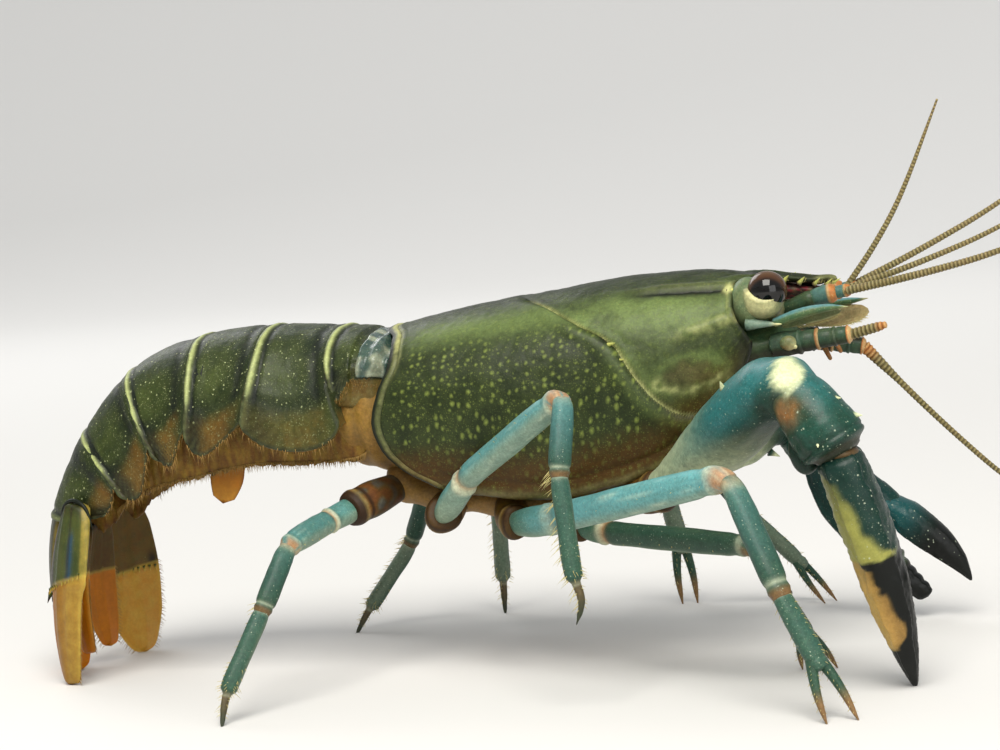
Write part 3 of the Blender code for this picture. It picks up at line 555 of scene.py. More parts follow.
def shell_finish(name, tones, dots, dust, roughness, coat, subsurface=0.02, fray=0.35, grain=0.45,
                 mottle=0.23, wrapped=False):
    """Chitin: two mottled base colours, the four marked colours, dots where marked, and pale dust.

    The dots are given by how many lie in a millimetre, their size in that spacing and how sharp they are.
    """
    finish = Finish(name, roughness, coat, 0.2, subsurface)
    broad, fine = finish.cloud(0.45, 4.0), finish.cloud(3.2, 5.0, 0.62)
    border = finish.cloud(1.0, 3.0, 0.5)
    colour = finish.blend(finish.spread(broad, 0.38, 0.62), tones["base"], tones["second"])
    for mark in ("cool", "warm", "dark", "pale"):
        colour = finish.blend(finish.ragged(mark, fray, border), colour, tones[mark])
    dotted = finish.sum("MULTIPLY", finish.specks(*dots, wrapped), finish.mark("spot"), clamp=True)
    colour = finish.blend(finish.sum("MULTIPLY", dotted, 0.72), colour, tones["speck"])
    flecks = finish.specks(4.2, 0.34, 7.0)
    patchy = finish.spread(broad, 0.35, 0.65, 0.25, 1.0)
    flecks = finish.sum("MULTIPLY", finish.sum("MULTIPLY", flecks, patchy), dust, clamp=True)
    flecks = finish.sum("MULTIPLY", flecks, finish.sum("SUBTRACT", 1.0, finish.mark("dark"), clamp=True))
    colour = finish.blend(flecks, colour, tones["speck"])
    scaled = finish.tree.nodes.new("ShaderNodeVectorMath")
    scaled.operation = "SCALE"
    finish.plug(scaled.inputs[0], colour)
    finish.plug(scaled.inputs["Scale"], finish.spread(fine, 0.3, 0.7, 0.97 - mottle, 0.97 + mottle))
    finish.colour(scaled.outputs["Vector"])
    gloss = finish.spread(fine, 0.3, 0.7, roughness - 0.08, roughness + 0.12)
    finish.plug(finish.shader.inputs["Roughness"], gloss)
    pits = finish.cloud(7.0, 3.0, 0.6)
    height = finish.sum("ADD", finish.sum("MULTIPLY", fine, 0.5), finish.sum("MULTIPLY", pits, 0.4))
    height = finish.sum("ADD", height, finish.sum("MULTIPLY", dotted, 0.25))
    finish.bump(height, grain, 0.12)
    return finish.material


def cornea_finish():
    """Dark wet glass: brown at its rim and crown, nearly black where it looks outwards."""
    finish = Finish("cornea_dark", 0.07, specular=0.45)
    colour = finish.blend(finish.mark("dark"), (0.060, 0.024, 0.008), (0.0025, 0.002, 0.0018))
    finish.colour(finish.blend(finish.mark("pale"), colour, (0.13, 0.07, 0.02)))
    return finish.material


def bristle_finish(name, colour, other_colour):
    """Bristles of two colours in patches."""
    finish = Finish(name, 0.5, 0.0, 0.1, 0.1)
    finish.colour(finish.blend(finish.cloud(1.5), colour, other_colour))
    return finish.material


CARAPACE_SHELL = shell_finish("carapace_shell", CARAPACE_TONES, dots=(1.05, 0.30, 3.4), dust=0.36,
                              roughness=0.42, coat=0.03, wrapped=True)
ROSTRUM_SHELL = shell_finish("rostrum_shell", ROSTRUM_TONES, dots=(2.4, 0.2, 8.0), dust=0.2,
                             roughness=0.42, coat=0.03)
ABDOMEN_SHELL = shell_finish("abdomen_shell", ABDOMEN_TONES, dots=(1.7, 0.20, 12.0), dust=0.30,
                             roughness=0.42, coat=0.04)
NECK_SKIN = shell_finish("neck_skin", NECK_TONES, dots=(1.4, 0.2, 8.0), dust=0.10,
                         roughness=0.20, coat=0.5, subsurface=0.05)
UNDERSIDE = shell_finish("underside_skin", UNDERSIDE_TONES, dots=(1.4, 0.16, 8.0), dust=0.10,
                         roughness=0.50, coat=0.0, subsurface=0.08)
TAIL_SHELL = shell_finish("tail_shell", TAIL_TONES, dots=(2.0, 0.14, 9.0), dust=0.05,
                          roughness=0.40, coat=0.04, subsurface=0.15, grain=0.22, mottle=0.10)
LEG_SHELL = shell_finish("leg_shell", LEG_TONES, dots=(2.3, 0.18, 10.0), dust=0.22,
                         roughness=0.42, coat=0.04, subsurface=0.04, fray=0.2)
CLAW_SHELL = shell_finish("claw_shell", CLAW_TONES, dots=(1.6, 0.18, 12.0), dust=0.15,
                          roughness=0.36, coat=0.08, fray=0.25, grain=0.4)
HAND_SHELL = shell_finish("hand_shell", HAND_TONES, dots=(1.6, 0.18, 12.0), dust=0.12,
                          roughness=0.36, coat=0.06, fray=0.2, grain=0.3, mottle=0.12)
HEAD_SHELL = shell_finish("head_shell", HEAD_TONES, dots=(1.8, 0.16, 9.0), dust=0.25,
                          roughness=0.38, coat=0.06, subsurface=0.04)
FEELER = shell_finish("feeler_rings", FEELER_TONES, dots=(3.0, 0.1, 9.0), dust=0.0,
                      roughness=0.46, coat=0.0, subsurface=0.05)
CORNEA = cornea_finish()
BRISTLE = bristle_finish("bristle_brown", (0.20, 0.11, 0.025), (0.33, 0.20, 0.06))
PALE_BRISTLE = bristle_finish("bristle_yellow", (0.52, 0.44, 0.16), (0.62, 0.52, 0.22))


# Carapace

CARAPACE_FRONT = 30.2
ROSTRUM_TIP = 38.7
CARAPACE_HALF_WIDTH = 12.2
MARGIN_ANGLE = math.radians(124)
ROSTRUM_EDGE = math.radians(22.5)

# Millimetres down the shell's side for each radian from the top of the back
SHELL_ROUND = 11.0
# The share of each side's columns that lies outside. The rest turns in under the lower margin
OUTSIDE = 0.94

carapace_top = profile((-12, 38.2), (-2, 40.1), (7, 41.2), (15, 42.2), (22, 42.5), (27, 42.3), (30, 41.9),
                       (33.5, 41.3), (ROSTRUM_TIP, 40.5))
carapace_margin = profile((-12, 21.6), (-5, 21.4), (-1.4, 20.7), (7.5, 19.8), (13.2, 20.6), (18.7, 22.2),
                          (24, 25.8), (28.3, 31.0), (CARAPACE_FRONT, 34.0))
carapace_width = profile((-12, 0.86), (-6, 0.96), (2, 1.0), (9, 0.97), (15, 0.90), (22, 0.80), (27, 0.70),
                         (CARAPACE_FRONT, 0.63))
carapace_rear = profile((0, -5.0), (0.12, -9.0), (0.26, -11.2), (0.42, -12.0), (0.6, -11.3), (0.8, -10.0),
                        (0.93, -10.3), (1.0, -12.0))
rostrum_width = profile((20, 2.6), (27, 3.9), (29.5, 3.2), (33, 2.4), (36.5, 1.55), (38.2, 0.7),
                        (ROSTRUM_TIP, 0.2))
rostrum_front = profile((0, ROSTRUM_TIP), (0.2, 38.6), (0.7, 38.1), (1.55, 36.4), (2.4, 33.0), (3.1, 30.2),
                        (3.4, 29.2))
# The cervical groove, by the angle down from the top of the back in degrees
groove_line = profile((0, 3.0), (19, 5.4), (33, 8.1), (45, 10.5), (53, 12.3), (60, 14.2), (67, 15.6),
                      (75, 16.5), (84, 17.5), (93, 18.9), (99, 20.1), (107, 21.9), (116, 24.4), (124, 26.0))


def shell_height(sweep):
    """Height between the lower margin, 0, and the top of the back, 1."""
    lean = math.cos(sweep)
    return 0.45 + 0.55 * lean ** 0.92 if lean > 0 else 0.45 * (1 - lean / math.cos(MARGIN_ANGLE))


def shell_front(sweep, reach):
    """Where the front edge lies: rostrum, hollow of the eye, then the cheek."""
    if sweep < ROSTRUM_EDGE:
        return rostrum_front(reach * CARAPACE_HALF_WIDTH * carapace_width(CARAPACE_FRONT))
    degrees = math.degrees(sweep)
    hollow = 2.0 * ramp(degrees, 18.5, 38) * ramp(degrees, 120, 58)
    return CARAPACE_FRONT - hollow - 2.2 * ramp(degrees, 104, 124) ** 2


def carapace_place(across, along):
    """Points of the carapace and rostrum, from the right margin over the back to the left one."""
    turn = 2 * across - 1
    side, share = (-1 if turn < 0 else 1), abs(turn)
    sweep = min(share / OUTSIDE, 1.0) ** 0.94 * MARGIN_ANGLE
    inward = max(share - OUTSIDE, 0.0) / (1 - OUTSIDE)
    # More rows lie near the rear rim
    along = along * 0.5 if along < 0.12 else 0.06 + (along - 0.12) * 0.94 / 0.88
    height = shell_height(sweep)
    reach = math.sin(sweep) ** 0.92
    back, front = carapace_rear(height), shell_front(sweep, reach)
    x = back + (front - back) * along
    low, top = carapace_margin(x), carapace_top(x)
    y = reach * CARAPACE_HALF_WIDTH * carapace_width(x)
    z = low + (top - low) * height
    degrees = math.degrees(sweep)
    behind = x - back
    ahead = front - x
    below = (MARGIN_ANGLE - sweep) * SHELL_ROUND
    place = (x, side * y, z)
    # Relief, outwards from the shell
    groove = x - groove_line(degrees)
    relief = -0.40 * hump(groove, 0.40) + 0.26 * hump(groove + 1.2, 1.2) - 0.10 * hump(groove - 1.2, 1.0)
    relief *= 0.35 + 0.65 * ramp(degrees, 6, 24)
    relief += 0.14 * hump(behind - 0.55, 0.28) - 0.16 * hump(behind - 1.05, 0.18)
    relief += 0.05 * hump(behind - 1.5, 0.3)
    rim = ramp(x, -8, 0)
    relief += rim * (0.18 * hump(below - 0.45, 0.40) - 0.18 * hump(below - 1.25, 0.32))
    ridge_y = 5.05 + 0.045 * (27.7 - x)
    ridge = hump(y - ridge_y, 0.40) * ramp(x, 14, 22) * ramp(x, 29.2, 27.8)
    relief += 0.26 * ridge
    trough = hump(y - ridge_y - 0.80, 0.52) * ramp(x, 14.5, 21) * ramp(x, 29.0, 27.6)
    relief -= 0.20 * trough
    tubercle = hump(math.hypot(x - 27.7, y - 5.8), 0.45)
    relief += 0.36 * tubercle
    cheek = hump(z - (36.9 + 0.28 * (x - 24.6)), 0.55) * ramp(x, 20.5, 25.0)
    relief += 0.26 * cheek
    # The patch low on the cheek, ochre within a paler green border
    patch = math.hypot((x - 23.4) / 3.0, (z - 32.4 - 0.12 * (x - 23.4)) / 1.5)
    patch += 0.30 * rough(place, 0.9, 8.0)
    relief += 0.06 * hump(ahead - 0.25, 0.20) * ramp(degrees, 24, 40) - 0.06 * hump(ahead - 0.7, 0.3)
    crest = 0.0
    if x > 26 and y < 4.5:
        width = max(rostrum_width(x), 0.25)
        blend = ramp(x, 26, 30)
        crest = hump(width - y, 0.42) * blend
        hollow = max(1 - (y / width) ** 2, 0.0) * ramp(ROSTRUM_TIP - x, 0.0, 2.0)
        relief += 0.30 * crest - 0.42 * blend * hollow
    relief -= 0.12 * hump(y - 2.4, 0.5) * ramp(x, 4, 0) * ramp(x, -11, -8)
    branchial = ramp(x, groove_line(degrees) + 0.4, groove_line(degrees) - 0.4)
    cloud = rough(place, 0.35)
    relief += 0.09 * cloud + 0.04 * rough(place, 1.3, 7.0)
    # The head's muscle fields behind the groove's bend, low and pitted
    relief += 0.022 * rough(place, 2.6, 11.0) * (1 - branchial)
    y += relief * math.sin(sweep) * (1 - inward)
    z += relief * math.cos(sweep)
    if inward:
        y *= 1 - 0.16 * inward
        z += 1.3 * inward
    pale = hump(behind - 0.66, 0.14) * mix(0.16, 0.80, ramp(degrees, 62, 26))
    pale += 0.30 * hump(behind - 1.35, 0.12) * ramp(degrees, 80, 40)
    pale += hump(groove - 0.22, 0.22) * ramp(degrees, 14, 22) * (0.78 + 0.5 * cloud) + 0.95 * tubercle
    fine_cloud = rough(place, 1.5, 3.0)
    pale += (0.22 + 0.35 * fine_cloud) * cheek + 0.08 * ridge
    pale += 0.22 * hump(ahead - 0.42, 0.14) * ramp(degrees, 30, 45) * ramp(degrees, 74, 60)
    pale += 0.22 * rim * hump(below - 0.3, 0.25)
    pale += (0.24 + 0.5 * fine_cloud) * hump(patch - 1.15, 0.25) * ramp(z, 33.0, 31.6)
    pale += 0.07 * ramp(patch, 1.0, 0.4)
    high_band = hump(degrees - 38, 11) * ramp(x, -10, -5)
    head_side = ramp(degrees, 22, 46) * (1 - 0.75 * ramp(degrees, 66, 88))
    head_side *= 0.80 + 0.55 * cloud + 0.25 * fine_cloud
    cool = mix(head_side, 0.80 * high_band, branchial) + 0.35 * cheek + 0.2 * crest
    cool += 0.55 * hump(patch - 1.2, 0.4) * (1 - branchial)
    cool += 0.3 * hump(groove + 0.9, 0.8) * ramp(degrees, 30, 60)
    warm = ramp(degrees, 99, 116) * 0.90 * ramp(x, 27, 18)
    warm += 0.45 * ramp(patch, 1.30, 0.4) + 0.45 * ramp(degrees, 92, 108) * (1 - branchial)
    dark = 0.90 * ramp(x, 28.0, 29.6) * ramp(degrees, 24, 19) * (1 - 0.6 * crest)
    # Painted shade: the dark at the rear edge, in the groove before the rear rim and in the trough under the
    # ridge behind the eye
    dark += 0.95 * ramp(behind, 0.56, 0.46) + 0.75 * hump(behind - 1.05, 0.14)
    dark += 0.50 * ramp(degrees, 20, 6) * ramp(x, -11, -8) + 1.1 * trough
    dark += 0.55 * hump(degrees - 76, 9) * ramp(x, 19.5, 23) * (1 - branchial) * ramp(patch, 1.0, 1.5)
    dark += 0.9 * hump(math.hypot(x - 14.4, z - 36.4), 0.6)
    # Painted shade: the dark line on the front wall of the cervical groove
    dark += 0.85 * ramp(ahead, 0.26, 0.14) * ramp(degrees, 24, 34) + 0.5 * hump(groove + 0.25, 0.22)
    dark += 0.8 * ramp(ahead, 2.8, 0.4) * ramp(degrees, 82, 100)
    dark += 0.35 * hump(groove - 3.2, 2.0) * (1 - branchial) * ramp(degrees, 50, 70) * ramp(degrees, 112, 96)
    spot = mix(0.22, 1.0, branchial) * ramp(degrees, 40, 56) * mix(1.0, 0.15, ramp(degrees, 100, 112))
    spot = max(spot, 0.30 * branchial) * ramp(behind, 1.6, 2.6)
    dark *= 1 - min(max(pale, 0.0), 1.0)
    return Vector((x, side * y, z)), {"pale": pale, "cool": cool, "warm": warm, "dark": dark, "spot": spot,
                                      "wrap": sweep * SHELL_ROUND / WRAP_LENGTH}


def make_carapace():
    shape = Shape()
    shape.grid(230, 190, carapace_place, rolled=False)
    show("carapace_shell", shape, CARAPACE_SHELL, "shell", "carapace", thickness=0.4)
    trim = Shape()
    keel_depth = profile((26, 3.4), (30, 2.6), (34, 1.7), (37, 1.0), (38.5, 0.35))

    def keel(across, along):
        """The body under the rostrum's edges, with short upright bars on its flanks."""
        angle = 2 * math.pi * across
        x = mix(25.5, 38.5, along)
        half = max(rostrum_width(x) * 0.97 - 0.1, 0.1) * (1.0 if along < 1 else 0.1)
        deep = keel_depth(x) * (1.0 if along < 1 else 0.1)
        up = math.sin(angle)
        z = carapace_top(x) - 0.45 - (deep * (0.5 - 0.5 * up) if up < 0.99 else 0.0) * 0.95
        narrow = 0.35 + 0.65 * (0.5 + 0.5 * up)
        bars = ramp(math.cos(x * 7.5 + 0.6 * rough((x, up, 0), 1.0)), 0.2, 0.9) * hump(up - 0.1, 0.5)
        blotch = rough((x * 1.2, up, 4.0 if math.cos(angle) > 0 else 9.0), 2.5, 5.0)
        tint = {"dark": 0.55 * ramp(blotch, 0.2, -0.2), "warm": ramp(blotch, 0.12, 0.32), "spot": 0.5,
                "cool": 0.9 * bars * ramp(x, 29, 31) * ramp(x, 36.5, 35),
                "pale": 0.5 * ramp(x, 36.5, 38) + 0.35 * bars * ramp(x, 31, 32)}
        return Vector((x, half * narrow * math.cos(angle) * 1.1, z)), tint

    trim.grid(28, 30, keel)

    def golden(t):
        return {"pale": ramp(t, 0.0, 0.45)}

    for side in SIDES.values():
        for x in (33.2, 34.9, 36.5, 37.7):
            edge = rostrum_width(x)
            z = carapace_top(x) - 0.25
            size = mix(0.34, 0.24, (x - 33.2) / 4.5)
            trim.cone(on_side((x - 0.2, edge * 0.90, z), side),
                      on_side((x + 0.55, edge * 1.05 + 0.12, z + 0.72), side), size, golden)
            for step in range(9):
                lean = Vector((CHANCE.uniform(-0.5, 0.9), side * CHANCE.uniform(-0.3, 0.8), 1.0))
                root = on_side((x - 0.3 + 0.11 * step, edge * CHANCE.uniform(0.8, 1.0), z + 0.1), side)
                spot = (x / 40, 0.1 + 0.05 * side + 0.004 * step)
                grow("head_bristles", root, lean, CHANCE.uniform(0.35, 0.75), spot)
        trim.cone(on_side((27.7, 6.0, 40.6), side), on_side((28.9, 6.25, 41.0), side), 0.42, golden)
        trim.cone(on_side((14.4, 9.7, 35.8), side), on_side((15.9, 10.9, 36.2), side), 0.40, golden)
        trim.cone(on_side((15.7, 10.2, 34.2), side), on_side((16.8, 11.0, 34.4), side), 0.30, golden)
    trim.cone((37.8, 0, 40.5), (39.0, 0, 41.0), 0.32, golden)
    show("rostrum_spines", trim, ROSTRUM_SHELL, "shell")


# Abdomen

# The line of the back, from under the carapace to the end of the telson
BACK_LINE = Route([(-8.5, 0, 37.6), (-17.0, 0, 39.2), (-31.0, 0, 39.8), (-42.5, 0, 37.0), (-50.3, 0, 28.6),
                   (-55.4, 0, 18.6), (-56.5, 0, 8.0), (-55.4, 0, -1.0)], bend=20, side=(0, 1, 0))
ABDOMEN_HALF_WIDTH = 10.2
SOMITE_ENDS = [2.6, 9.4, 17.8, 26.4, 36.0, 45.4, 56.0]
SOMITE_WIDTHS = [0.90, 0.97, 1.0, 0.99, 0.95, 0.87, 0.76]
SOMITE_DEPTHS = [7.4, 9.9, 10.3, 10.0, 9.3, 8.3]
LOBE_DEPTHS = [0.6, 3.7, 3.0, 2.8, 2.4, 0.5]
BELLY_DEPTHS = [8.4, 10.1, 10.1, 9.7, 8.9, 7.2]
PLEURON_SWEEPS = [1.6, -4.6, 2.7, 3.4, 4.8, 4.2, -8.5]
SWEEP_DEPTH = 12.0
# How much of its length a somite is tucked under the one in front of it
TUCK = 0.22
# Each side's columns run down to the edge of the side plate, turn in below it and then cross the belly
PLATE_SHARE, TURN_SHARE = 0.7, 0.8
# The share of the rows that lies outside. The rest turns in at the rear edge
ROWS_OUTSIDE = 0.94


def back_frame(distance):
    """A point of the back line, the direction of the tail from there, and the direction of the belly."""
    centre, ahead, _, _ = BACK_LINE.frame(distance)
    return centre, ahead, ahead.cross(Vector((0, 1, 0)))


def somite_place(number):
    """Points of a somite: along runs from the part tucked under its neighbour to its rear edge."""
    front = SOMITE_ENDS[number - 1]
    length = SOMITE_ENDS[number] - front
    second = number == 2

    def place(across, along):
        turn = 2 * across - 1
        side, share = (-1 if turn < 0 else 1), abs(turn)
        sweep = min(share / PLATE_SHARE, 1.0) * math.pi / 2
        fall = 1 - math.cos(sweep) ** 0.85
        # The second somite's side lobe lies over its neighbour instead of under it
        lobed = ramp(fall, 0.42, 0.60) if second else 0.0
        station = -TUCK * (1 - lobed) + (1 + TUCK * (1 - lobed)) * min(along / ROWS_OUTSIDE, 1.0)
        inside = max(along - ROWS_OUTSIDE, 0.0) / (1 - ROWS_OUTSIDE)
        body = max(station, 0.0)
        width = ABDOMEN_HALF_WIDTH * mix(SOMITE_WIDTHS[number - 1], SOMITE_WIDTHS[number], body)
        fullness = max(math.sin(math.pi * body ** (1.0 if second else 1.25)), 0.0) ** 0.7
        depth = SOMITE_DEPTHS[number - 1] + LOBE_DEPTHS[number - 1] * fullness
        if number == 1:
            depth *= mix(0.64, 1.0, ramp(body, 0.40, 0.95))
        y = width * math.sin(sweep) ** 0.82
        drop = depth * fall
        lean = mix(PLEURON_SWEEPS[number - 1], PLEURON_SWEEPS[number], body)
        swept = lean * (drop / SWEEP_DEPTH) ** 2
        under = 0.0
        if share > PLATE_SHARE:
            under = min((share - PLATE_SHARE) / (TURN_SHARE - PLATE_SHARE), 1.0)
            y = (width - 1.8 * under) * (1.0 if share < TURN_SHARE else (1 - share) / (1 - TURN_SHARE))
            drop = mix(depth, BELLY_DEPTHS[number - 1], under)
            swept *= 1 - 0.6 * under if lean > 0 else 1
        behind = (1 - station) * length
        level = drop / depth
        high = ramp(level, 0.80, 0.50)
        # Relief: the rear rim, the front half ring, the fold above the side plate and the plate's own rim
        relief = 0.11 * hump(behind - 0.42, 0.34) - 0.13 * hump(behind - 1.05, 0.38)
        if number < 6:
            relief -= 0.13 * hump(station - 0.15, 0.07) * high
        else:
            relief -= 0.12 * hump(station - 0.3, 0.1)
        fold = hump(level - 0.60, 0.07) * ramp(station, 0.1, 0.35) * (1 - 0.5 * ramp(station, 0.8, 1.0))
        swollen = hump(level - 0.80, 0.12) * ramp(station, 0.0, 0.4) * ramp(station, 1.0, 0.65)
        relief += 0.30 * swollen * (1 - under) - 0.10 * fold
        relief += 0.10 * hump(level - 0.975, 0.02) * (1 - under)
        relief -= 0.50 * ramp(station, 0.05, -0.12) * (1 - lobed)
        relief -= 0.55 * inside * inside
        if second:
            relief += lobed * (0.30 - 0.35 * ramp(station, 0.04, 0.0))
        if number == 1:
            relief -= 0.55 * ramp(level, 0.5, 0.9) + 0.45 * ramp(station, 0.52, 0.46)
        relief *= 1 - 0.8 * under
        centre, _, down = back_frame(front + length * station + swept - 0.25 * inside)
        outward = Vector((0, side * math.sin(sweep), 0)) - down * math.cos(sweep)
        point = centre + Vector((0, side * y, 0)) + down * drop
        cloud = rough(point, 0.5, number)
        point += outward * (relief + 0.06 * cloud + 0.03 * rough(point, 1.8, number))
        if inside:
            middle = centre + down * SOMITE_DEPTHS[number - 1] * 0.5
            point = point.lerp(Vector((point.x, middle.y, middle.z)), 0.10 * inside)
        plate = ramp(level, 0.62, 0.78)
        rays = 0.5 + 0.5 * math.cos(34 * math.atan2((level - 0.60) * depth, (station - 0.45) * length))
        edge = (hump(level - 0.985, 0.022) + hump(station - 0.985, 0.02) * plate
                + (hump(station - 0.02, 0.035) * lobed if second else 0.0))
        band = hump(behind - 0.38, 0.26) * mix(0.10, 1.0, ramp(level, 0.74, 0.52))
        band *= 0.9 if number < 6 else 0.25
        # Dark: painted shade in the groove behind the rear rim, in the front half ring's groove, on the part
        # tucked under the somite in front and along the fold above the side plate. The dark rims and the side
        # plate's dark hind half are the shell's own colour
        marks = {
            "pale": band + 0.05 * plate * rays * ramp(station, 0.2, 0.5) + 0.05 * edge,
            "warm": (plate * (0.38 if second else 0.80) * ramp(station, 0.0, 0.25) * (0.75 + 0.4 * cloud)
                     * (0.1 if number == 1 else 1.0)),
            "cool": (0.55 + 0.4 * cloud) * hump(level - 0.36, 0.22) * ramp(station, 0.22, 0.5)
                    + (0.50 * plate if second else 0.0),
            "dark": (0.85 * hump(behind - 1.05, 0.42) * high + 0.75 * hump(station - 0.16, 0.07) * high
                     + 0.95 * edge + 0.9 * ramp(station, 0.02, -0.10) * (1 - lobed)
                     + (0.55 if second else 0.85) * ramp(station, 0.50, 0.78) * ramp(level, 0.52, 0.72)
                     + 0.30 * hump(level - 0.60, 0.06)),
            "spot": 0.8 * high + 0.35,
        }
        if under or inside > 0.5:
            pale, dark = (0.12 + 0.1 * cloud, 0.12) if number < 5 else (0.0, 0.45)
            marks.update({"pale": pale, "dark": dark, "warm": 1.0, "cool": 0.0, "spot": 0.0})
        return point, marks

    return place


# The dark arched edge over the top of the near outer tail blade
HOOD = ((-51.5, -6.9, 19.2), (-50.9, -7.5, 20.7), (-49.2, -8.4, 21.5), (-47.4, -9.1, 20.6),
        (-46.8, -9.3, 18.2))

# For each somite and side, how far the swimmeret leans back, its length and its breadth
SWIMMERETS = {
    2: {"R": (0.7, 6.0, 1.0), "L": (0.7, 6.0, 1.0)},
    3: {"R": (0.3, 11.0, 1.35), "L": (0.3, 6.5, 1.0)},
    4: {"R": (0.3, 5.0, 1.0), "L": (0.3, 5.0, 1.0)},
    5: {"R": (0.25, 4.5, 0.9), "L": (0.25, 4.5, 0.9)},
}


def swimmerets(shape, number):
    """The pair of small paddles under a somite."""
    middle = (SOMITE_ENDS[number - 1] + SOMITE_ENDS[number]) / 2
    centre, ahead, down = back_frame(middle)
    widths = profile((0, 0.7), (0.25, 0.95), (0.7, 1.5), (0.93, 1.0), (1, 0.5))
    depths = profile((0, 0.6), (0.5, 0.4), (1, 0.2))
    for letter, side in SIDES.items():
        lean, length, breadth = SWIMMERETS[number][letter]
        base = centre + down * (BELLY_DEPTHS[number - 1] - 1.2) + Vector((0, side * 5.2, 0))
        tip = base + (down * (1.25 - lean) + ahead * lean).normalized() * length
        warm, shade = (0.70, 0.0) if length > 9 else (0.12, 0.25)

        def tint(along, lateral, point):
            dark = 0.35 * ramp(abs(lateral), 0.8, 1.0) + 0.2 * ramp(along, 0.4, 0.1) + shade
            return {"warm": warm, "pale": 0.20 * ramp(along, 0.7, 1.0), "dark": dark}

        broad = ahead if lean < 0.5 else (0, 1, 0)
        shape.blade(base, tip, broad, lambda along: widths(along) * breadth, depths, 0.2, tint, 20, 16)


# The lower edge of the soft brown curtain of skin and bristles below the side plates
CURTAIN_EDGE = profile((-49.0, 16.0), (-46.6, 17.4), (-44.4, 19.7), (-41.5, 21.3), (-39.3, 22.1),
                       (-34.3, 23.0), (-30.0, 23.8), (-25.6, 24.1), (-19.9, 24.0), (-15.8, 24.2),
                       (-13.0, 25.6))
CURTAIN_ENDS = (-48.8, -13.2)
CURTAIN_HAIRS = 420
CURTAIN_HAIR_ENDS = (-44.8, -13.6)
PLATE_HAIRS = 54


def make_curtains():
    for letter, side in SIDES.items():
        shape = Shape()

        def place(across, along):
            x = mix(*CURTAIN_ENDS, across)
            end = min(across, 1 - across)
            ragged = 0.35 * rough((x, side, 0), 0.8) + 0.28 * rough((x, side, 4.0), 2.6)
            ragged += 0.18 * rough((x, side, 8), 6.0)
            low = CURTAIN_EDGE(x) + ragged + 2.0 * ramp(end, 0.05, 0.0)
            z = mix(low + 5.0, low, along)
            y = 6.9 - 0.5 * along - 1.6 * ramp(x, -43, -46) + 0.15 * rough((x, z * 0.4, side * 5), 1.6)
            tone = rough((x, z * 0.3, side * 9), 1.8)
            marks = {"dark": 0.18 + 0.6 * tone + 0.30 * ramp(along, 0.8, 1.0), "warm": 0.12 + 0.3 * tone}
            return Vector((x, side * y, z)), marks

        shape.grid(260, 14, place, rolled=False)
        show(f"belly_curtain_{letter}", shape, UNDERSIDE, "underside", thickness=0.25)
        for step in range(CURTAIN_HAIRS):
            x = mix(*CURTAIN_HAIR_ENDS, (step + CHANCE.random()) / CURTAIN_HAIRS)
            root = (x, side * 6.5, CURTAIN_EDGE(x) + 0.4)
            lean = (CHANCE.uniform(-0.3, 0.3), side * CHANCE.uniform(-0.2, 0.4), -1.0)
            spot = (0.6 + 0.1 * side, 0.1 + 0.012 * (x + 46))
            grow("belly_fringe", root, lean, CHANCE.uniform(0.5, 1.1), spot)


def make_neck_skin():
    """Wet folded skin between the carapace and the first somite."""
    base = somite_place(1)
    shape = Shape()

    def place(across, along):
        point = base(mix(0.155, 0.845, across), mix(0.03, 0.50, along))[0]
        axis = back_frame(mix(0.8, 6.0, along))[0] + Vector((0, 0, -6.0))
        swell = 0.50 * math.sin(math.pi * min(along * 1.1, 1.0)) ** 0.5 - 0.35 * ramp(along, 0.9, 1.0)
        fold = 0.16 * math.cos(along * 15 + 1.5 * rough(point, 0.5)) + 0.12 * rough(point, 0.9, 2.0)
        tone = rough(point, 0.6, 6.0)
        marks = {"pale": 0.50 * ramp(tone, 0.15, 0.45), "cool": 0.35 - 0.4 * tone, "spot": 0.6,
                 "dark": 0.45 - 0.4 * tone + 0.5 * ramp(along, 0.90, 0.97)}
        return point + (point - axis).normalized() * (swell + fold), marks

    shape.grid(110, 40, place, rolled=False)
    show("neck_skin", shape, NECK_SKIN, "soft_joint", thickness=0.3)


def make_abdomen():
    make_neck_skin()
    make_curtains()
    for number in range(1, 7):
        shape = Shape()
        place = somite_place(number)
        shape.grid(190, 66, place)
        if number == 6:
            hood = Route(HOOD, bend=1.6, side=(0, 1, 0))
            shape.tube(hood, 0, hood.joints[-1],
                       lambda t, angle: 0.24 * math.sin(math.pi * mix(0.12, 0.88, t)),
                       lambda t, angle, point: {"dark": 0.95}, 16, 40, 0.3)
        show(f"somite_{number}", shape, ABDOMEN_SHELL, "shell", f"abdomen_{number}")
        for side in SIDES.values():
            for step in range(PLATE_HAIRS):
                along = mix(0.12, 0.90, (step + CHANCE.random()) / PLATE_HAIRS)
                root = place(0.5 + side * CHANCE.uniform(0.345, 0.365), along)[0]
                lean = Vector((CHANCE.uniform(-0.5, 0.3), -side * CHANCE.uniform(-0.1, 0.6), -1.0))
                length = CHANCE.uniform(0.5, 1.3) * (1.0 if 1 < number < 6 else 0.5)
                spot = (0.1 + 0.12 * number, 0.5 + 0.1 * side + 0.08 * along)
                grow("belly_fringe", root, lean, length, spot)
        if number in SWIMMERETS:
            fins = Shape()
            swimmerets(fins, number)
            show(f"swimmerets_{number}", fins, TAIL_SHELL, "tail_fan")


# Tail fan

UROPODS = {
    # base, tip, direction across, half width
    "uropod_R_outer": ((-48.7, -7.3, 21.0), (-51.2, -8.0, 0.0), (0.72, -0.62, 0.0), 4.1),
    "uropod_R_inner": ((-49.8, -3.6, 18.0), (-50.1, -4.6, 2.9), (0.7, -0.7, 0.0), 2.7),
    "uropod_L_outer": ((-50.0, 7.6, 21.0), (-49.8, 10.8, 0.0), (0.65, 0.76, 0.0), 4.1),
    "uropod_L_inner": ((-50.7, 2.6, 17.6), (-51.3, 3.9, 2.1), (0.5, 0.86, 0.0), 2.4),
}
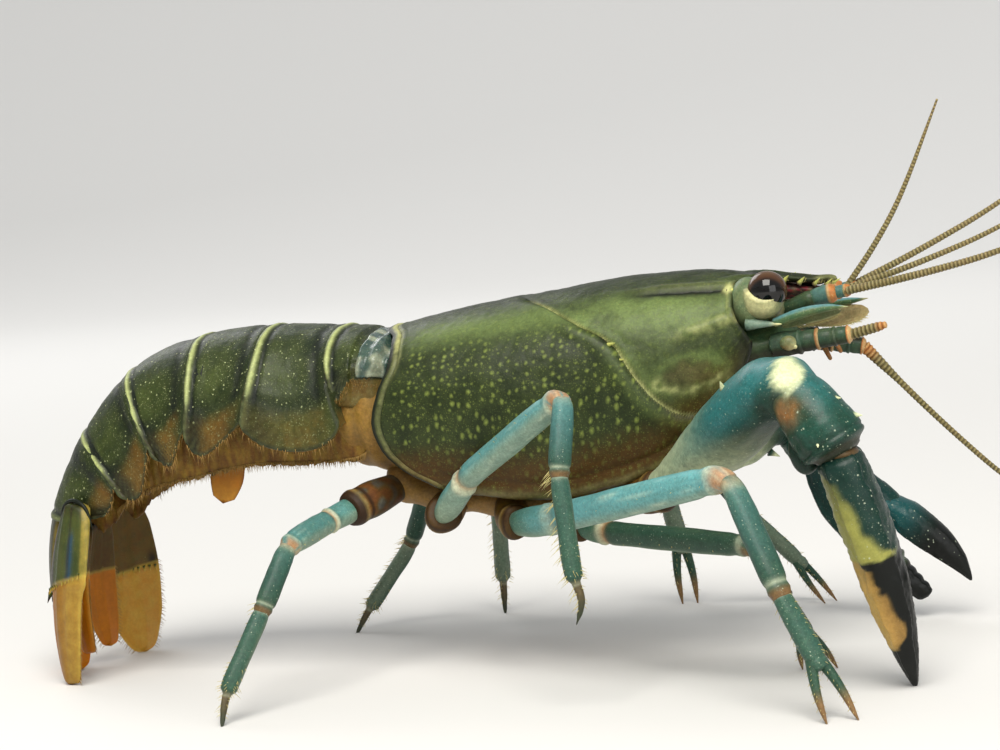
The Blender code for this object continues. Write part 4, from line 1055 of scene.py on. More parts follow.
# How far down each blade its cross line lies, and how much the line slants across the blade
CROSS_LINES = {"uropod_R_outer": (0.44, 0.065), "uropod_L_outer": (0.525, 0.01),
               "uropod_R_inner": (0.36, 0.0), "uropod_L_inner": (0.42, 0.0)}
OUTER_WIDTHS = {
    "uropod_R_outer": profile((0, 0.45), (0.1, 0.72), (0.25, 0.92), (0.42, 1.0), (0.48, 0.86), (0.75, 0.72),
                              (0.93, 0.50), (1, 0.30)),
    "uropod_L_outer": profile((0, 0.20), (0.10, 0.50), (0.3, 0.90), (0.52, 1.0), (0.75, 0.88), (0.93, 0.52),
                              (1, 0.26)),
}
INNER_WIDTH = profile((0, 0.40), (0.06, 0.62), (0.18, 0.86), (0.5, 1.0), (0.75, 0.90), (0.93, 0.60),
                      (1, 0.36))
CROSS_SPINES = 11
UROPOD_HAIRS = 46


def make_uropod(name):
    base, tip, broad, half = UROPODS[name]
    outer = name.endswith("outer")
    near = base[1] < 0
    cross, slant = CROSS_LINES[name]
    widths = OUTER_WIDTHS.get(name, INNER_WIDTH)
    depths = profile((0, 1.0), (0.5, 0.6), (1, 0.30))
    bow = 1.2 if near else -1.2

    def relief(along, lateral):
        line = cross - slant * lateral
        ribs = 0.20 * hump(lateral, 0.12)
        ribs -= 0.10 * hump(lateral - 0.25, 0.1) + 0.10 * hump(lateral + 0.25, 0.1)
        step = -0.22 * hump(along - line - 0.012, 0.012) + 0.12 * hump(along - line + 0.012, 0.015)
        fluted = 0.05 * math.cos(lateral * 38) * ramp(along, line, 0.75)
        return ribs * ramp(along, 0.95, 0.5) + (step if outer else 0.0) + fluted

    def tint(along, lateral, point):
        line = cross - slant * lateral
        orange = ramp(along, line - 0.012, line + 0.02)
        edge = abs(lateral)
        streak = 0.5 + 0.5 * rough((lateral * 3, along * 2, base[1]), 1.3)
        marks = {"warm": orange, "spot": 0.4 * (1 - orange), "cool": 0.0,
                 "pale": 0.45 * hump(along - line, 0.010) + 0.25 * orange * ramp(edge, 0.88, 0.98)}
        if name == "uropod_R_outer":
            # Pinkish tan with a red hind edge and a glassy front edge below the line, green above it
            red = ramp(lateral + 0.25 * streak, -0.10, -0.45)
            marks["pale"] += 0.42 * ramp(lateral, 0.80, 0.90) * (1 - orange)
            marks["pale"] += orange * (1 - red) * mix(0.16, 0.40, ramp(lateral, 0.1, 0.6))
            marks["warm"] = orange * mix(0.62, 1.0, red)
            marks["cool"] = 0.95 * hump(lateral - 0.48, 0.10) * (1 - orange) * ramp(along, 0.12, 0.2)
            marks["dark"] = 0.8 * hump(lateral - 0.38, 0.05) * (1 - orange) + orange * mix(0.22, 0.30, red)
            marks["dark"] += 0.92 * ramp(lateral, -0.32, -0.5) * (1 - orange)
        elif name == "uropod_L_outer":
            marks["warm"] = max(orange, 0.22)
            marks["pale"] += mix(0.40, 0.62, streak) * orange
            corner = math.hypot((along - line + 0.02) * 20, (lateral - 0.80) * 8)
            marks["dark"] = (0.12 + 0.25 * streak) * (1 - orange) + 0.9 * hump(corner, 1.0)
        else:
            marks["dark"] = 0.55 * (1 - orange) + 0.22 * orange * mix(0.6, 1.0, streak)
            marks["warm"] = max(orange, 0.25)
        marks["dark"] += 0.5 * ramp(along, 0.10, 0.02)
        return marks

    shape = Shape()
    shape.blade(base, tip, broad, lambda along: widths(along) * half, depths, bow, tint, 56, 80, relief)
    start, end = Vector(base), Vector(tip)
    ahead, across, through = blade_frame(start, end, broad)
    if outer:
        # Small spines on both faces along the cross line
        direction = Vector(broad).normalized()
        outward = ahead.cross(direction)
        for step in range(CROSS_SPINES):
            lateral = mix(-0.86, 0.86, step / (CROSS_SPINES - 1))
            root = start.lerp(end, cross - slant * lateral - 0.01) + direction * half * 0.99 * lateral
            root += outward * (bow * (0.99 + 0.6 * (1 - lateral * lateral)))
            for face in (-0.45, 0.45):
                out = outward * face
                shape.cone(root + out, root + out * 1.25 + ahead * 0.75, 0.16, around=6)
    for turn in (-1, 1):
        for step in range(UROPOD_HAIRS):
            along = mix(0.5 if outer else 0.4, 0.985, (step + CHANCE.random()) / UROPOD_HAIRS)
            root = start.lerp(end, along) + across * turn * widths(along) * half * 0.98
            root += through * bow * 4 * along * (1 - along)
            spot = (0.1 + 0.2 * list(UROPODS).index(name) + 0.04 * turn, 0.1 + 0.8 * along)
            grow("tail_fringe", root, across * turn + ahead * CHANCE.uniform(0.5, 1.1),
                 CHANCE.uniform(0.5, 0.9), spot)
    show(f"{name}_blade", shape, TAIL_SHELL, "tail_fan", name)


def make_telson():
    start, end = SOMITE_ENDS[6] - 0.8, BACK_LINE.joints[-1] - 0.9
    widths = profile((0, 4.7), (0.3, 4.7), (0.7, 4.3), (0.9, 3.4), (1, 1.9))
    depths = profile((0, 1.0), (0.5, 0.7), (1, 0.30))

    def place(across, along):
        angle = 2 * math.pi * across
        centre, _, down = back_frame(mix(start, end, along))
        lateral = blunt(math.cos(angle))
        arch = 1.0 + 1.0 * lateral * lateral
        close = rounded(along, 0.0, 0.03)
        up = -math.sin(angle)
        ridge = 0.18 * hump(abs(lateral) - 0.45, 0.14) * ramp(along, 0.7, 0.3)
        ridge -= 0.16 * hump(along - 0.56, 0.012) * ramp(abs(lateral), 0.3, 0.9)
        ridge += 0.05 * math.cos(lateral * 34) * ramp(along, 0.6, 0.75)
        point = centre + Vector((0, widths(along) * lateral * close, 0))
        point += down * (arch + depths(along) * close * math.sin(angle) - ridge * max(up, 0.0))
        orange = ramp(along, 0.60, 0.72)
        marks = {"warm": orange, "spot": 0.5 * (1 - orange), "dark": 0.65 * (1 - orange),
                 "pale": 0.35 * hump(along - 0.66, 0.02) + 0.25 * ramp(abs(lateral), 0.9, 1.0)}
        return point, marks

    def dark_tip(t):
        return {"dark": ramp(t, 0.2, 0.6)}

    shape = Shape()
    shape.grid(56, 90, place)
    centre, ahead, down = back_frame(mix(start, end, 0.49))
    for side in SIDES.values():
        base = centre + Vector((0, side * 4.3, 0)) + down * 1.4
        shape.cone(base, base + ahead * 1.1 + Vector((0, side * 0.6, 0)) - down * 0.2, 0.28, dark_tip)
        shape.cone(base - Vector((0, side * 0.8, 0)), base + ahead * 1.1 - Vector((0, side * 0.3, 0)), 0.25,
                   dark_tip)
    show("telson_plate", shape, TAIL_SHELL, "tail_fan", "telson")


# Head

# Places on the head are given for the left side, but those of each feeler for its own side
EYE_RADIUS = 2.15
EYE_CENTRE = {"R": (32.0, 6.5, 40.55), "L": (31.6, 5.9, 39.2)}
EYE_STALK = {"R": (31.5, 6.35, 39.75), "L": (31.1, 5.75, 38.4)}
STALK_ROOT = (32.0, 2.4, 38.0)
ANTENNULE = ((33.2, 2.4, 38.1), (36.5, 2.7, 39.4), (40.2, 2.7, 39.9))
ANTENNULE_FLAGELLA = {
    "R_outer": ((40.0, -3.0, 39.8), (47.0, -4.2, 41.0), (57.0, -5.5, 43.2), (66.0, -6.5, 46.8)),
    "R_inner": ((40.0, -2.2, 40.0), (47.0, -1.6, 42.0), (56.5, 0.2, 45.4), (64.5, 1.2, 50.0)),
    "L_outer": ((40.0, 3.0, 40.0), (47.0, 4.4, 43.2), (56.1, 6.0, 47.8), (64.0, 7.6, 53.4)),
    "L_inner": ((39.7, 2.4, 40.2), (42.4, 3.0, 44.0), (45.6, 4.0, 49.2), (50.0, 5.4, 59.5)),
}
FLAGELLUM_SIZE = {"R_outer": 0.46, "R_inner": 0.38, "L_outer": 0.40, "L_inner": 0.36}
ANTENNA_ROOT = (32.6, 5.6, 34.6)
ANTENNA_END = {"R": (40.5, 6.2, 35.4), "L": (40.2, 6.0, 33.0)}
STUB = ((40.8, -6.2, 35.4), (44.6, -7.2, 36.3))
LONG_FLAGELLUM = ((40.6, 6.1, 32.6), (48.3, 9.0, 23.4), (56.0, 15.0, 14.6), (67.0, 25.0, 7.4),
                  (80.0, 38.0, 3.2), (90.0, 50.0, 1.4))
RING_LENGTH = 0.42


def make_eye(letter):
    side = SIDES[letter]
    centre = Vector(on_side(EYE_CENTRE[letter], side))
    outward = Vector((0.12, side * 0.94, -0.32)).normalized()

    def glass(point):
        ray = (point - centre).normalized()
        return {"dark": ramp(ray.dot(outward), 0.30, 0.62), "pale": 0.30 * ramp(ray.z, 0.72, 0.96)}

    eye = Shape()
    eye.ball(centre, (EYE_RADIUS,) * 3, glass, 64, 48)
    show(f"cornea_{letter}", eye, CORNEA, "cornea", f"eye_{letter}")
    stalk = Shape()
    cup = Vector(on_side(EYE_STALK[letter], side))

    def cup_place(across, along):
        """A cup round the eye's lower and hind part, with a rolled lip."""
        angle, tilt = 2 * math.pi * across, math.pi * along
        ray = Vector((math.sin(tilt) * math.cos(angle), math.sin(tilt) * math.sin(angle), -math.cos(tilt)))
        point = cup + Vector((ray.x * 2.30 - 0.15 * max(-ray.x, 0.0), ray.y * 2.30, ray.z * 2.25))
        # Rays from the eye's own centre show where the lip runs: high behind and in front, low outside
        away = point - centre
        rim = -0.44 + 0.42 * away.normalized().x ** 2 + 0.25 * max(-away.normalized().x, 0.0) ** 2
        over = away.normalized().z - rim
        if over > 0 and away.length > EYE_RADIUS - 0.25:
            point = centre + away.normalized() * mix(away.length, EYE_RADIUS - 0.25, ramp(over, 0.0, 0.16))
        lip = hump(over + 0.03, 0.05)
        point += away.normalized() * 0.10 * lip
        shade = 0.5 + 0.5 * rough(point, 1.4, 2.0)
        under = ramp(ray.z, -0.45, -0.85)
        back = ramp(ray.x, -0.55, -0.85)
        # The cup's front is less pale and darker: partly its olive colour, partly painted shadow
        front = ramp(ray.x, 0.45, 0.85)
        pale = (0.95 - 0.25 * shade) * (1 - 0.65 * under) * (1 - 0.75 * back) * (1 - 0.7 * front)
        dark = 0.65 * hump(over - 0.03, 0.05) + 0.35 * under + 0.5 * front
        return point, {"pale": pale, "warm": 0.15 * under, "dark": dark, "spot": 0.1}

    stalk.grid(72, 56, cup_place)
    root = Route([on_side(STALK_ROOT, side), cup])
    stalk.tube(root, 0, root.joints[-1], lambda t, angle: mix(1.2, 1.8, t),
               lambda t, angle, point: {"pale": 0.35, "dark": 0.35}, 24, 12)
    # Soft skin that fills the hollow of the shell behind the eye
    stalk.ball(on_side((29.7, EYE_CENTRE[letter][1] - 1.3, 39.2), side), (2.1, 2.6, 2.9),
               lambda point: {"dark": 0.15, "pale": 0.12}, 32, 24)
    show(f"eye_cup_{letter}", stalk, HEAD_SHELL, "soft_joint", f"eyestalk_{letter}")


def ringed(route, start, end, taper, rings, shape, around=12, marks=None):
    """A feeler of many short rings."""

    def wave(t):
        return math.cos(2 * math.pi * rings * t)

    def radius(t, angle):
        return taper(t) * (1 + 0.09 * wave(t))

    def tint(t, angle, point):
        tone = {"dark": 0.70 * max(-wave(t), 0.0), "pale": 0.45 * max(wave(t), 0.0), "cool": 0.3 * (1 - t)}
        if marks:
            tone.update(marks(t))
        return tone

    shape.tube(route, start, end, radius, tint, around, rings * 4, 0.15)


def make_antennule(letter):
    side = SIDES[letter]
    route = Route([on_side(point, side) for point in ANTENNULE], bend=2, side=(0, 1, 0))
    total = route.joints[-1]
    shape = Shape()
    swell = profile((0, 0.80), (0.35, 0.96), (0.70, 1.0), (0.85, 1.06), (1, 0.92))
    bounds = ((-0.4, 3.4, 0.92, 0.0), (3.1, 5.7, 1.02, 1.0), (5.4, total, 0.70, 1.0))
    for first, last, width, banded in bounds:
        def tint(t, angle, point):
            band = banded * ramp(t, 0.70, 0.80)
            return {"warm": 0.8 * band, "pale": 0.35 * hump(t - 0.80, 0.05) * banded, "spot": 0.7,
                    "cool": 0.36 * banded * (1 - band) * ramp(t, 0.0, 0.3),
                    "dark": mix(0.60, 0.25, banded) * (1 - band)}

        shape.tube(route, first, last, lambda t, angle: width * swell(t), tint, 28, 22, 0.35)
    show(f"antennule_base_{letter}", shape, HEAD_SHELL, "limb_shell", f"antennule_{letter}")
    feelers = Shape()
    for part in ("outer", "inner"):
        points = ANTENNULE_FLAGELLA[f"{letter}_{part}"]
        line = Route([Vector(points[0]) - Vector((0.2, 0, 0)), *points[1:]], bend=8, side=(0, 1, 0))
        size = FLAGELLUM_SIZE[f"{letter}_{part}"]
        taper = profile((0, size), (0.6, size * 0.72), (1, 0.12))
        ringed(line, 0, line.joints[-1], taper, int(line.joints[-1] / RING_LENGTH), feelers)
    show(f"antennule_feelers_{letter}", feelers, FEELER, "feeler")


def make_antenna(letter):
    side = SIDES[letter]
    route = Route([on_side(ANTENNA_ROOT, side), on_side(ANTENNA_END[letter], side)], side=(0, 1, 0))
    length = route.joints[-1]
    shape = Shape()
    swell = profile((0, 0.9), (0.4, 1.0), (0.8, 0.95), (0.95, 1.04), (1, 0.9))
    # Where each joint starts and ends, its radius, and how strong the orange band at its end is
    bounds = ((-0.5, 0.34, 1.35, 0.0), (0.30, 0.58, 1.18, 0.75), (0.54, 0.82, 1.06, 0.0),
              (0.79, 1.0, 0.98, 1.0))
    for first, last, width, banded in bounds:
        def tint(t, angle, point):
            band = banded * ramp(t, 0.84, 0.92)
            # Painted shade: each joint is darker on its lower side, with a little green kept on top
            low = ramp(point.z, route.point(mix(first, last, t) * length).z + 0.2, 33.9)
            return {"warm": 0.9 * band, "pale": 0.4 * band * ramp(t, 0.94, 1.0), "cool": 0.10 * (1 - low),
                    "dark": (0.55 + 0.42 * low) * (1 - band), "spot": 0.4}

        start = first if first < 0 else first * length
        shape.tube(route, start, last * length, lambda t, angle: width * swell(t), tint, 28, 20, 0.35)
    # The spine at the outer corner of the first joint, and the knob of the green gland
    shape.cone(on_side((29.6, 6.9, 37.15), side), on_side((33.4, 7.25, 36.95), side), 0.66,
               lambda t: {"cool": 0.55, "pale": 0.2 + 0.8 * ramp(t, 0.70, 0.88),
                          "dark": 0.25 * ramp(t, 0.4, 0.0)}, 18)
    shape.ball(on_side((34.0, 6.9, 34.85), side), (0.95, 0.7, 0.80),
               lambda point: {"warm": 0.10 + 0.3 * ramp(point.z, 34.9, 34.3), "dark": 0.2,
                              "pale": 0.12 + 0.4 * ramp(point.x - point.z, -0.8, 0.2), "spot": 0.5}, 24, 18)
    shape.ball(on_side((34.7, 7.1, 34.45), side), (0.26, 0.26, 0.26), lambda point: {"pale": 0.95}, 14, 10)
    show(f"antenna_base_{letter}", shape, HEAD_SHELL, "limb_shell", f"antenna_{letter}")
    feeler = Shape()
    if letter == "R":
        line = Route(STUB, side=(0, 1, 0))
        taper = profile((0, 0.58), (0.8, 0.50), (1, 0.34))
        ringed(line, -0.4, line.joints[-1] - 0.1, taper, 9, feeler, 18,
               lambda t: {"warm": 0.9 * ramp(t, 0.7, 0.95), "cool": 0.3})
    else:
        line = Route(LONG_FLAGELLUM, bend=9, side=(0, 1, 0))
        taper = profile((0, 0.70), (0.03, 0.56), (0.08, 0.36), (0.4, 0.26), (1, 0.10))
        ringed(line, -0.4, line.joints[-1], taper, 150, feeler, 12,
               lambda t: {"warm": 0.9 * ramp(t, 0.03, 0.0)})
    show(f"antenna_feeler_{letter}", feeler, FEELER, "feeler", f"antenna_flagellum_{letter}")


def make_antenna_scale(letter):
    """A stiff outer bar that ends in a spine, and the thin leaf along its inner side."""
    side = SIDES[letter]
    shape = Shape()
    line = ((32.6, 6.7, 37.1), (35.6, 6.4, 38.0), (37.8, 5.9, 38.35), (40.2, 5.2, 38.3))
    if letter == "L":
        line = ((32.4, 6.9, 36.9), (36.4, 6.6, 37.8), (41.0, 5.3, 38.3))
    bar = Route([on_side(point, side) for point in line], bend=4, side=(0, 0, 1))
    taper = profile((0, 0.62), (0.3, 0.74), (0.75, 0.50), (0.9, 0.26), (1, 0.07))

    def bar_tone(t, angle, point):
        pale = 0.7 * ramp(t, 0.88, 1.0) + 0.22 * ramp(math.sin(angle), -0.4, -0.9)
        return {"cool": 0.70 * ramp(math.sin(angle), 0.3, 0.8), "pale": pale, "spot": 0.5}

    shape.tube(bar, 0, bar.joints[-1], lambda t, angle: taper(t), bar_tone, 20, 44, 0.2, 0.8)
    size = 1.0 if letter == "L" else 0.62
    widths = profile((0, 0.5 * size), (0.2, 1.15 * size), (0.6, 1.45 * size), (0.85, 1.15 * size),
                     (1, 0.35 * size))
    depths = profile((0, 0.28), (0.5, 0.18), (1, 0.10))

    def leaf_tone(along, lateral, point):
        veins = 0.5 + 0.5 * math.cos(26 * lateral + 5 * along)
        if letter == "R":
            rims = ramp(abs(lateral), 0.55, 0.95)
            return {"pale": 0.10 + 0.60 * rims, "warm": 0.06, "dark": 0.20 * (1 - rims)}
        pale = 0.26 + 0.10 * veins + 0.25 * ramp(lateral, 0.8, 1.0)
        return {"warm": 0.42, "pale": pale, "dark": 0.10}

    root, tip = on_side((33.2, 6.2, 36.7), side), on_side((39.6, 5.1, 37.9), side)
    if letter == "L":
        root, tip = (33.4, 5.9, 36.4), (41.3, 4.4, 36.9)
    across = Vector((0, -side * 0.66, -0.75))
    shape.blade(root, tip, across, widths, depths, 0.15, leaf_tone, 36, 40)
    for step in range(44):
        along = mix(0.25, 0.97, (step + CHANCE.random()) / 44)
        edge = Vector(root).lerp(Vector(tip), along) + across * widths(along) * 0.97
        grow("head_bristles", edge, across * (1.15 - along) + Vector((1.0, 0, 0)), CHANCE.uniform(0.35, 0.65),
             (0.2 + 0.2 * side, 0.3 + 0.3 * along))
    show(f"antenna_plate_{letter}", shape, HEAD_SHELL, "limb_shell", f"antenna_scale_{letter}")


def make_face():
    """The block between the antennae, under the rostrum, down to the mouth."""
    half = profile((20, 3.2), (27, 6.2), (30, 5.9), (32, 5.6), (34, 3.0))
    low = profile((20, 25.0), (26, 29.0), (29.5, 31.0), (32, 32.4), (34, 34.4))
    top = profile((20, 36.0), (30, 37.0), (32, 37.0), (34, 36.2))

    def place(across, along):
        x = mix(20, 34.2, along)
        angle = 2 * math.pi * across
        close = rounded(along, 0.0, 0.1)
        middle = (low(x) + top(x)) / 2
        height = middle + (top(x) - middle) * close * math.sin(angle)
        point = Vector((x, half(x) * close * math.cos(angle), height))
        point += Vector((0.12, 0, 0.12)) * rough(point, 0.9, 3.0)
        # Painted shade: darker towards the mouth, under the head
        return point, {"dark": 0.80 * ramp(point.z, 36.5, 33.5), "warm": 0.35 * ramp(point.z, 34.0, 31.5),
                       "spot": 0.3}

    shape = Shape()
    shape.grid(48, 40, place)
    for side in SIDES.values():
        route = Route([on_side((33.0, 2.9, 34.9), side), on_side((36.9, 3.8, 34.9), side),
                       on_side((37.9, 4.0, 32.8), side)], bend=1.6, side=(0, 1, 0))
        shape.tube(route, 0, route.joints[-1], lambda t, angle: mix(0.55, 0.24, t),
                   lambda t, angle, point: {"warm": 0.65, "pale": 0.3 * hump(t - 0.5, 0.1), "dark": 0.2},
                   16, 26, 0.3)
    show("face_block", shape, HEAD_SHELL, "limb_shell", "face")


# The outermost mouth leg
MAXILLIPED = ((15.5, 3.2, 20.8), (23.0, 3.9, 23.4), (30.5, 3.7, 28.6), (32.8, 3.6, 31.0), (34.8, 3.4, 28.8))


def make_maxilliped(letter):
    side = SIDES[letter]
    route = Route([on_side(point, side) for point in MAXILLIPED], bend=2.2, side=(0, 1, 0))
    total = route.joints[-1]
    width = profile((0, 1.3), (0.4, 1.6), (0.62, 1.35), (0.72, 1.1), (0.9, 0.8), (1, 0.4))

    def tint(t, angle, point):
        return {"warm": 0.2 + 0.3 * ramp(t, 0.8, 1.0), "dark": 0.62 + 0.2 * ramp(t, 0.3, 0.0),
                "pale": 0.15 * hump(t - 0.95, 0.05)}

    shape = Shape()
    cuts = (0.0, 0.36, 0.66, 0.80, 0.91, 1.0)
    for first, last in zip(cuts, cuts[1:]):
        def radius(t, angle):
            return width(mix(first, last, t)) * (0.92 + 0.10 * ramp(t, 0.6, 0.95) - 0.05 * hump(t, 0.1))

        shape.tube(route, first * total, last * total + 0.15, radius, tint, 24, 18, 0.3)
    limb_hairs("mouth_bristles", route, 0.3 * total, total - 0.2, lambda t: width(mix(0.3, 1.0, t)),
               (side * 2.2, side * 1.5, side * 2.9), 34, 1.0, (0.3 + 0.25 * side, 0.1))
    show(f"mouth_leg_{letter}", shape, UNDERSIDE, "underside", f"maxilliped_{letter}")


# Limbs

# For each pair, where its first joint starts and ends. All places are given for the left side
LIMB_ROOTS = {
    1: ((15.0, 5.0, 20.2), (18.9, 8.6, 19.2)),
    2: ((8.2, 5.0, 18.6), (9.8, 8.5, 16.2)),
    3: ((1.4, 5.0, 18.8), (2.6, 9.3, 16.8)),
    4: ((-5.0, 5.0, 19.2), (-5.6, 9.3, 17.6)),
    5: ((-12.0, 4.5, 20.6), (-15.2, 9.3, 19.3)),
}
ROOT_RADIUS = {1: 2.5, 2: 1.9, 3: 2.0, 4: 2.1, 5: 2.1}
LEG_JOINTS = {
    "2_R": ((14.1, 11.0, 15.7), (31.6, 21.0, 15.2), (33.3, 16.4, 8.9), (34.9, 12.2, 3.9)),
    "3_R": ((9.1, 13.5, 17.9), (30.6, 29.0, 23.6), (36.0, 34.0, 12.2), (39.6, 35.4, 5.4)),
    "4_R": ((-0.8, 14.0, 22.7), (13.3, 25.0, 32.2), (13.0, 28.5, 24.4), (14.1, 30.0, 14.2),
            (15.0, 30.0, 11.6), (14.2, 30.0, 9.4)),
    "5_R": ((-17.6, 13.0, 18.2), (-19.0, 22.0, 17.2), (-20.9, 26.5, 10.9), (-24.0, 31.5, 2.9),
            (-24.1, 33.0, -0.3)),
    "2_L": ((12.6, 12.0, 18.5), (15.6, 26.0, 21.0), (21.5, 29.5, 11.6), (27.6, 31.5, 4.6)),
    "3_L": ((5.0, 14.0, 20.0), (9.7, 28.0, 26.4), (11.2, 31.6, 14.8), (12.6, 32.8, 6.8)),
    "4_L": ((-5.2, 14.0, 20.6), (-9.8, 25.5, 26.6), (-9.7, 30.6, 14.6), (-9.9, 31.0, 4.4),
            (-9.7, 30.2, -0.3)),
    "5_L": ((-15.8, 13.2, 18.6), (-15.5, 22.0, 18.6), (-19.3, 24.2, 10.0), (-24.6, 21.2, 2.4),
            (-25.8, 19.4, -0.3)),
}
PINCER_TIPS = {
    "2_R": ((33.7, 10.0, 0.0), (37.4, 9.6, 0.0)),
    "3_R": ((40.3, 37.5, 0.0), (43.2, 36.0, 0.0)),
    "2_L": ((31.4, 32.0, 0.0), (30.2, 30.4, 0.0)),
    "3_L": ((12.2, 33.0, 0.0), (14.0, 33.4, 0.0)),
}
LEG_SIZE = {"2": 0.86, "3": 1.04, "4": 0.92, "5": 0.86}
# How blue a leg is and how lit it looks. Low values paint the legs in the body's shade darker: painted shade
LEG_BLUE_AND_LIT = {"3_R": 1.0, "4_R": 0.80, "5_R": 0.60, "2_R": 0.0, "5_L": 0.45}
UPPER_LEG = profile((0, 1.25), (0.14, 1.62), (0.3, 1.50), (0.6, 1.55), (0.88, 1.45), (1, 1.15))
CARPUS = profile((0, 1.05), (0.35, 1.28), (0.8, 1.30), (1, 1.0))
LONG_FOOT = profile((0, 0.95), (0.15, 1.10), (0.4, 1.06), (0.60, 1.10), (0.695, 1.02), (0.735, 0.54),
                    (0.85, 0.44), (0.95, 0.27), (1, 0.10))
PALM = profile((0, 0.92), (0.3, 1.06), (0.75, 1.12), (1, 0.88))
FINGER = profile((0, 0.62), (0.3, 0.52), (0.8, 0.30), (1, 0.10))


def leg_route(name):
    pair, letter = name.split("_")
    side = SIDES[letter]
    root, coxa = LIMB_ROOTS[int(pair)]
    joints = [on_side(point, side) for point in (root, coxa, *LEG_JOINTS[name])]
    return joints, Route(joints, bend=2.0, side=(1, 0.2 * side, 0.4))


def segment(shape, route, start, end, size, marks, lap=0.45, around=26, rings=40, joint=None):
    """One length of leg, with a neck at its near end and a flared collar at its far end."""

    def radius(t, angle):
        neck = 1 - 0.16 * hump(t, 0.05)
        collar = 1 + 0.11 * hump(t - 0.955, 0.025) - 0.09 * hump(t - 0.90, 0.02)
        if joint:
            collar += 0.10 * hump(t - joint + 0.025, 0.016) - 0.14 * hump(t - joint, 0.014)
        keeled = 1 + 0.05 * math.cos(3 * angle + 0.5) + 0.03 * math.cos(2 * angle)
        return size(t) * neck * collar * keeled * (1 + 0.035 * rough((t * 9, angle * 1.3, start), 1.0))

    shape.tube(route, start - lap, end + lap * 0.3, radius, marks, around, rings, 0.4)


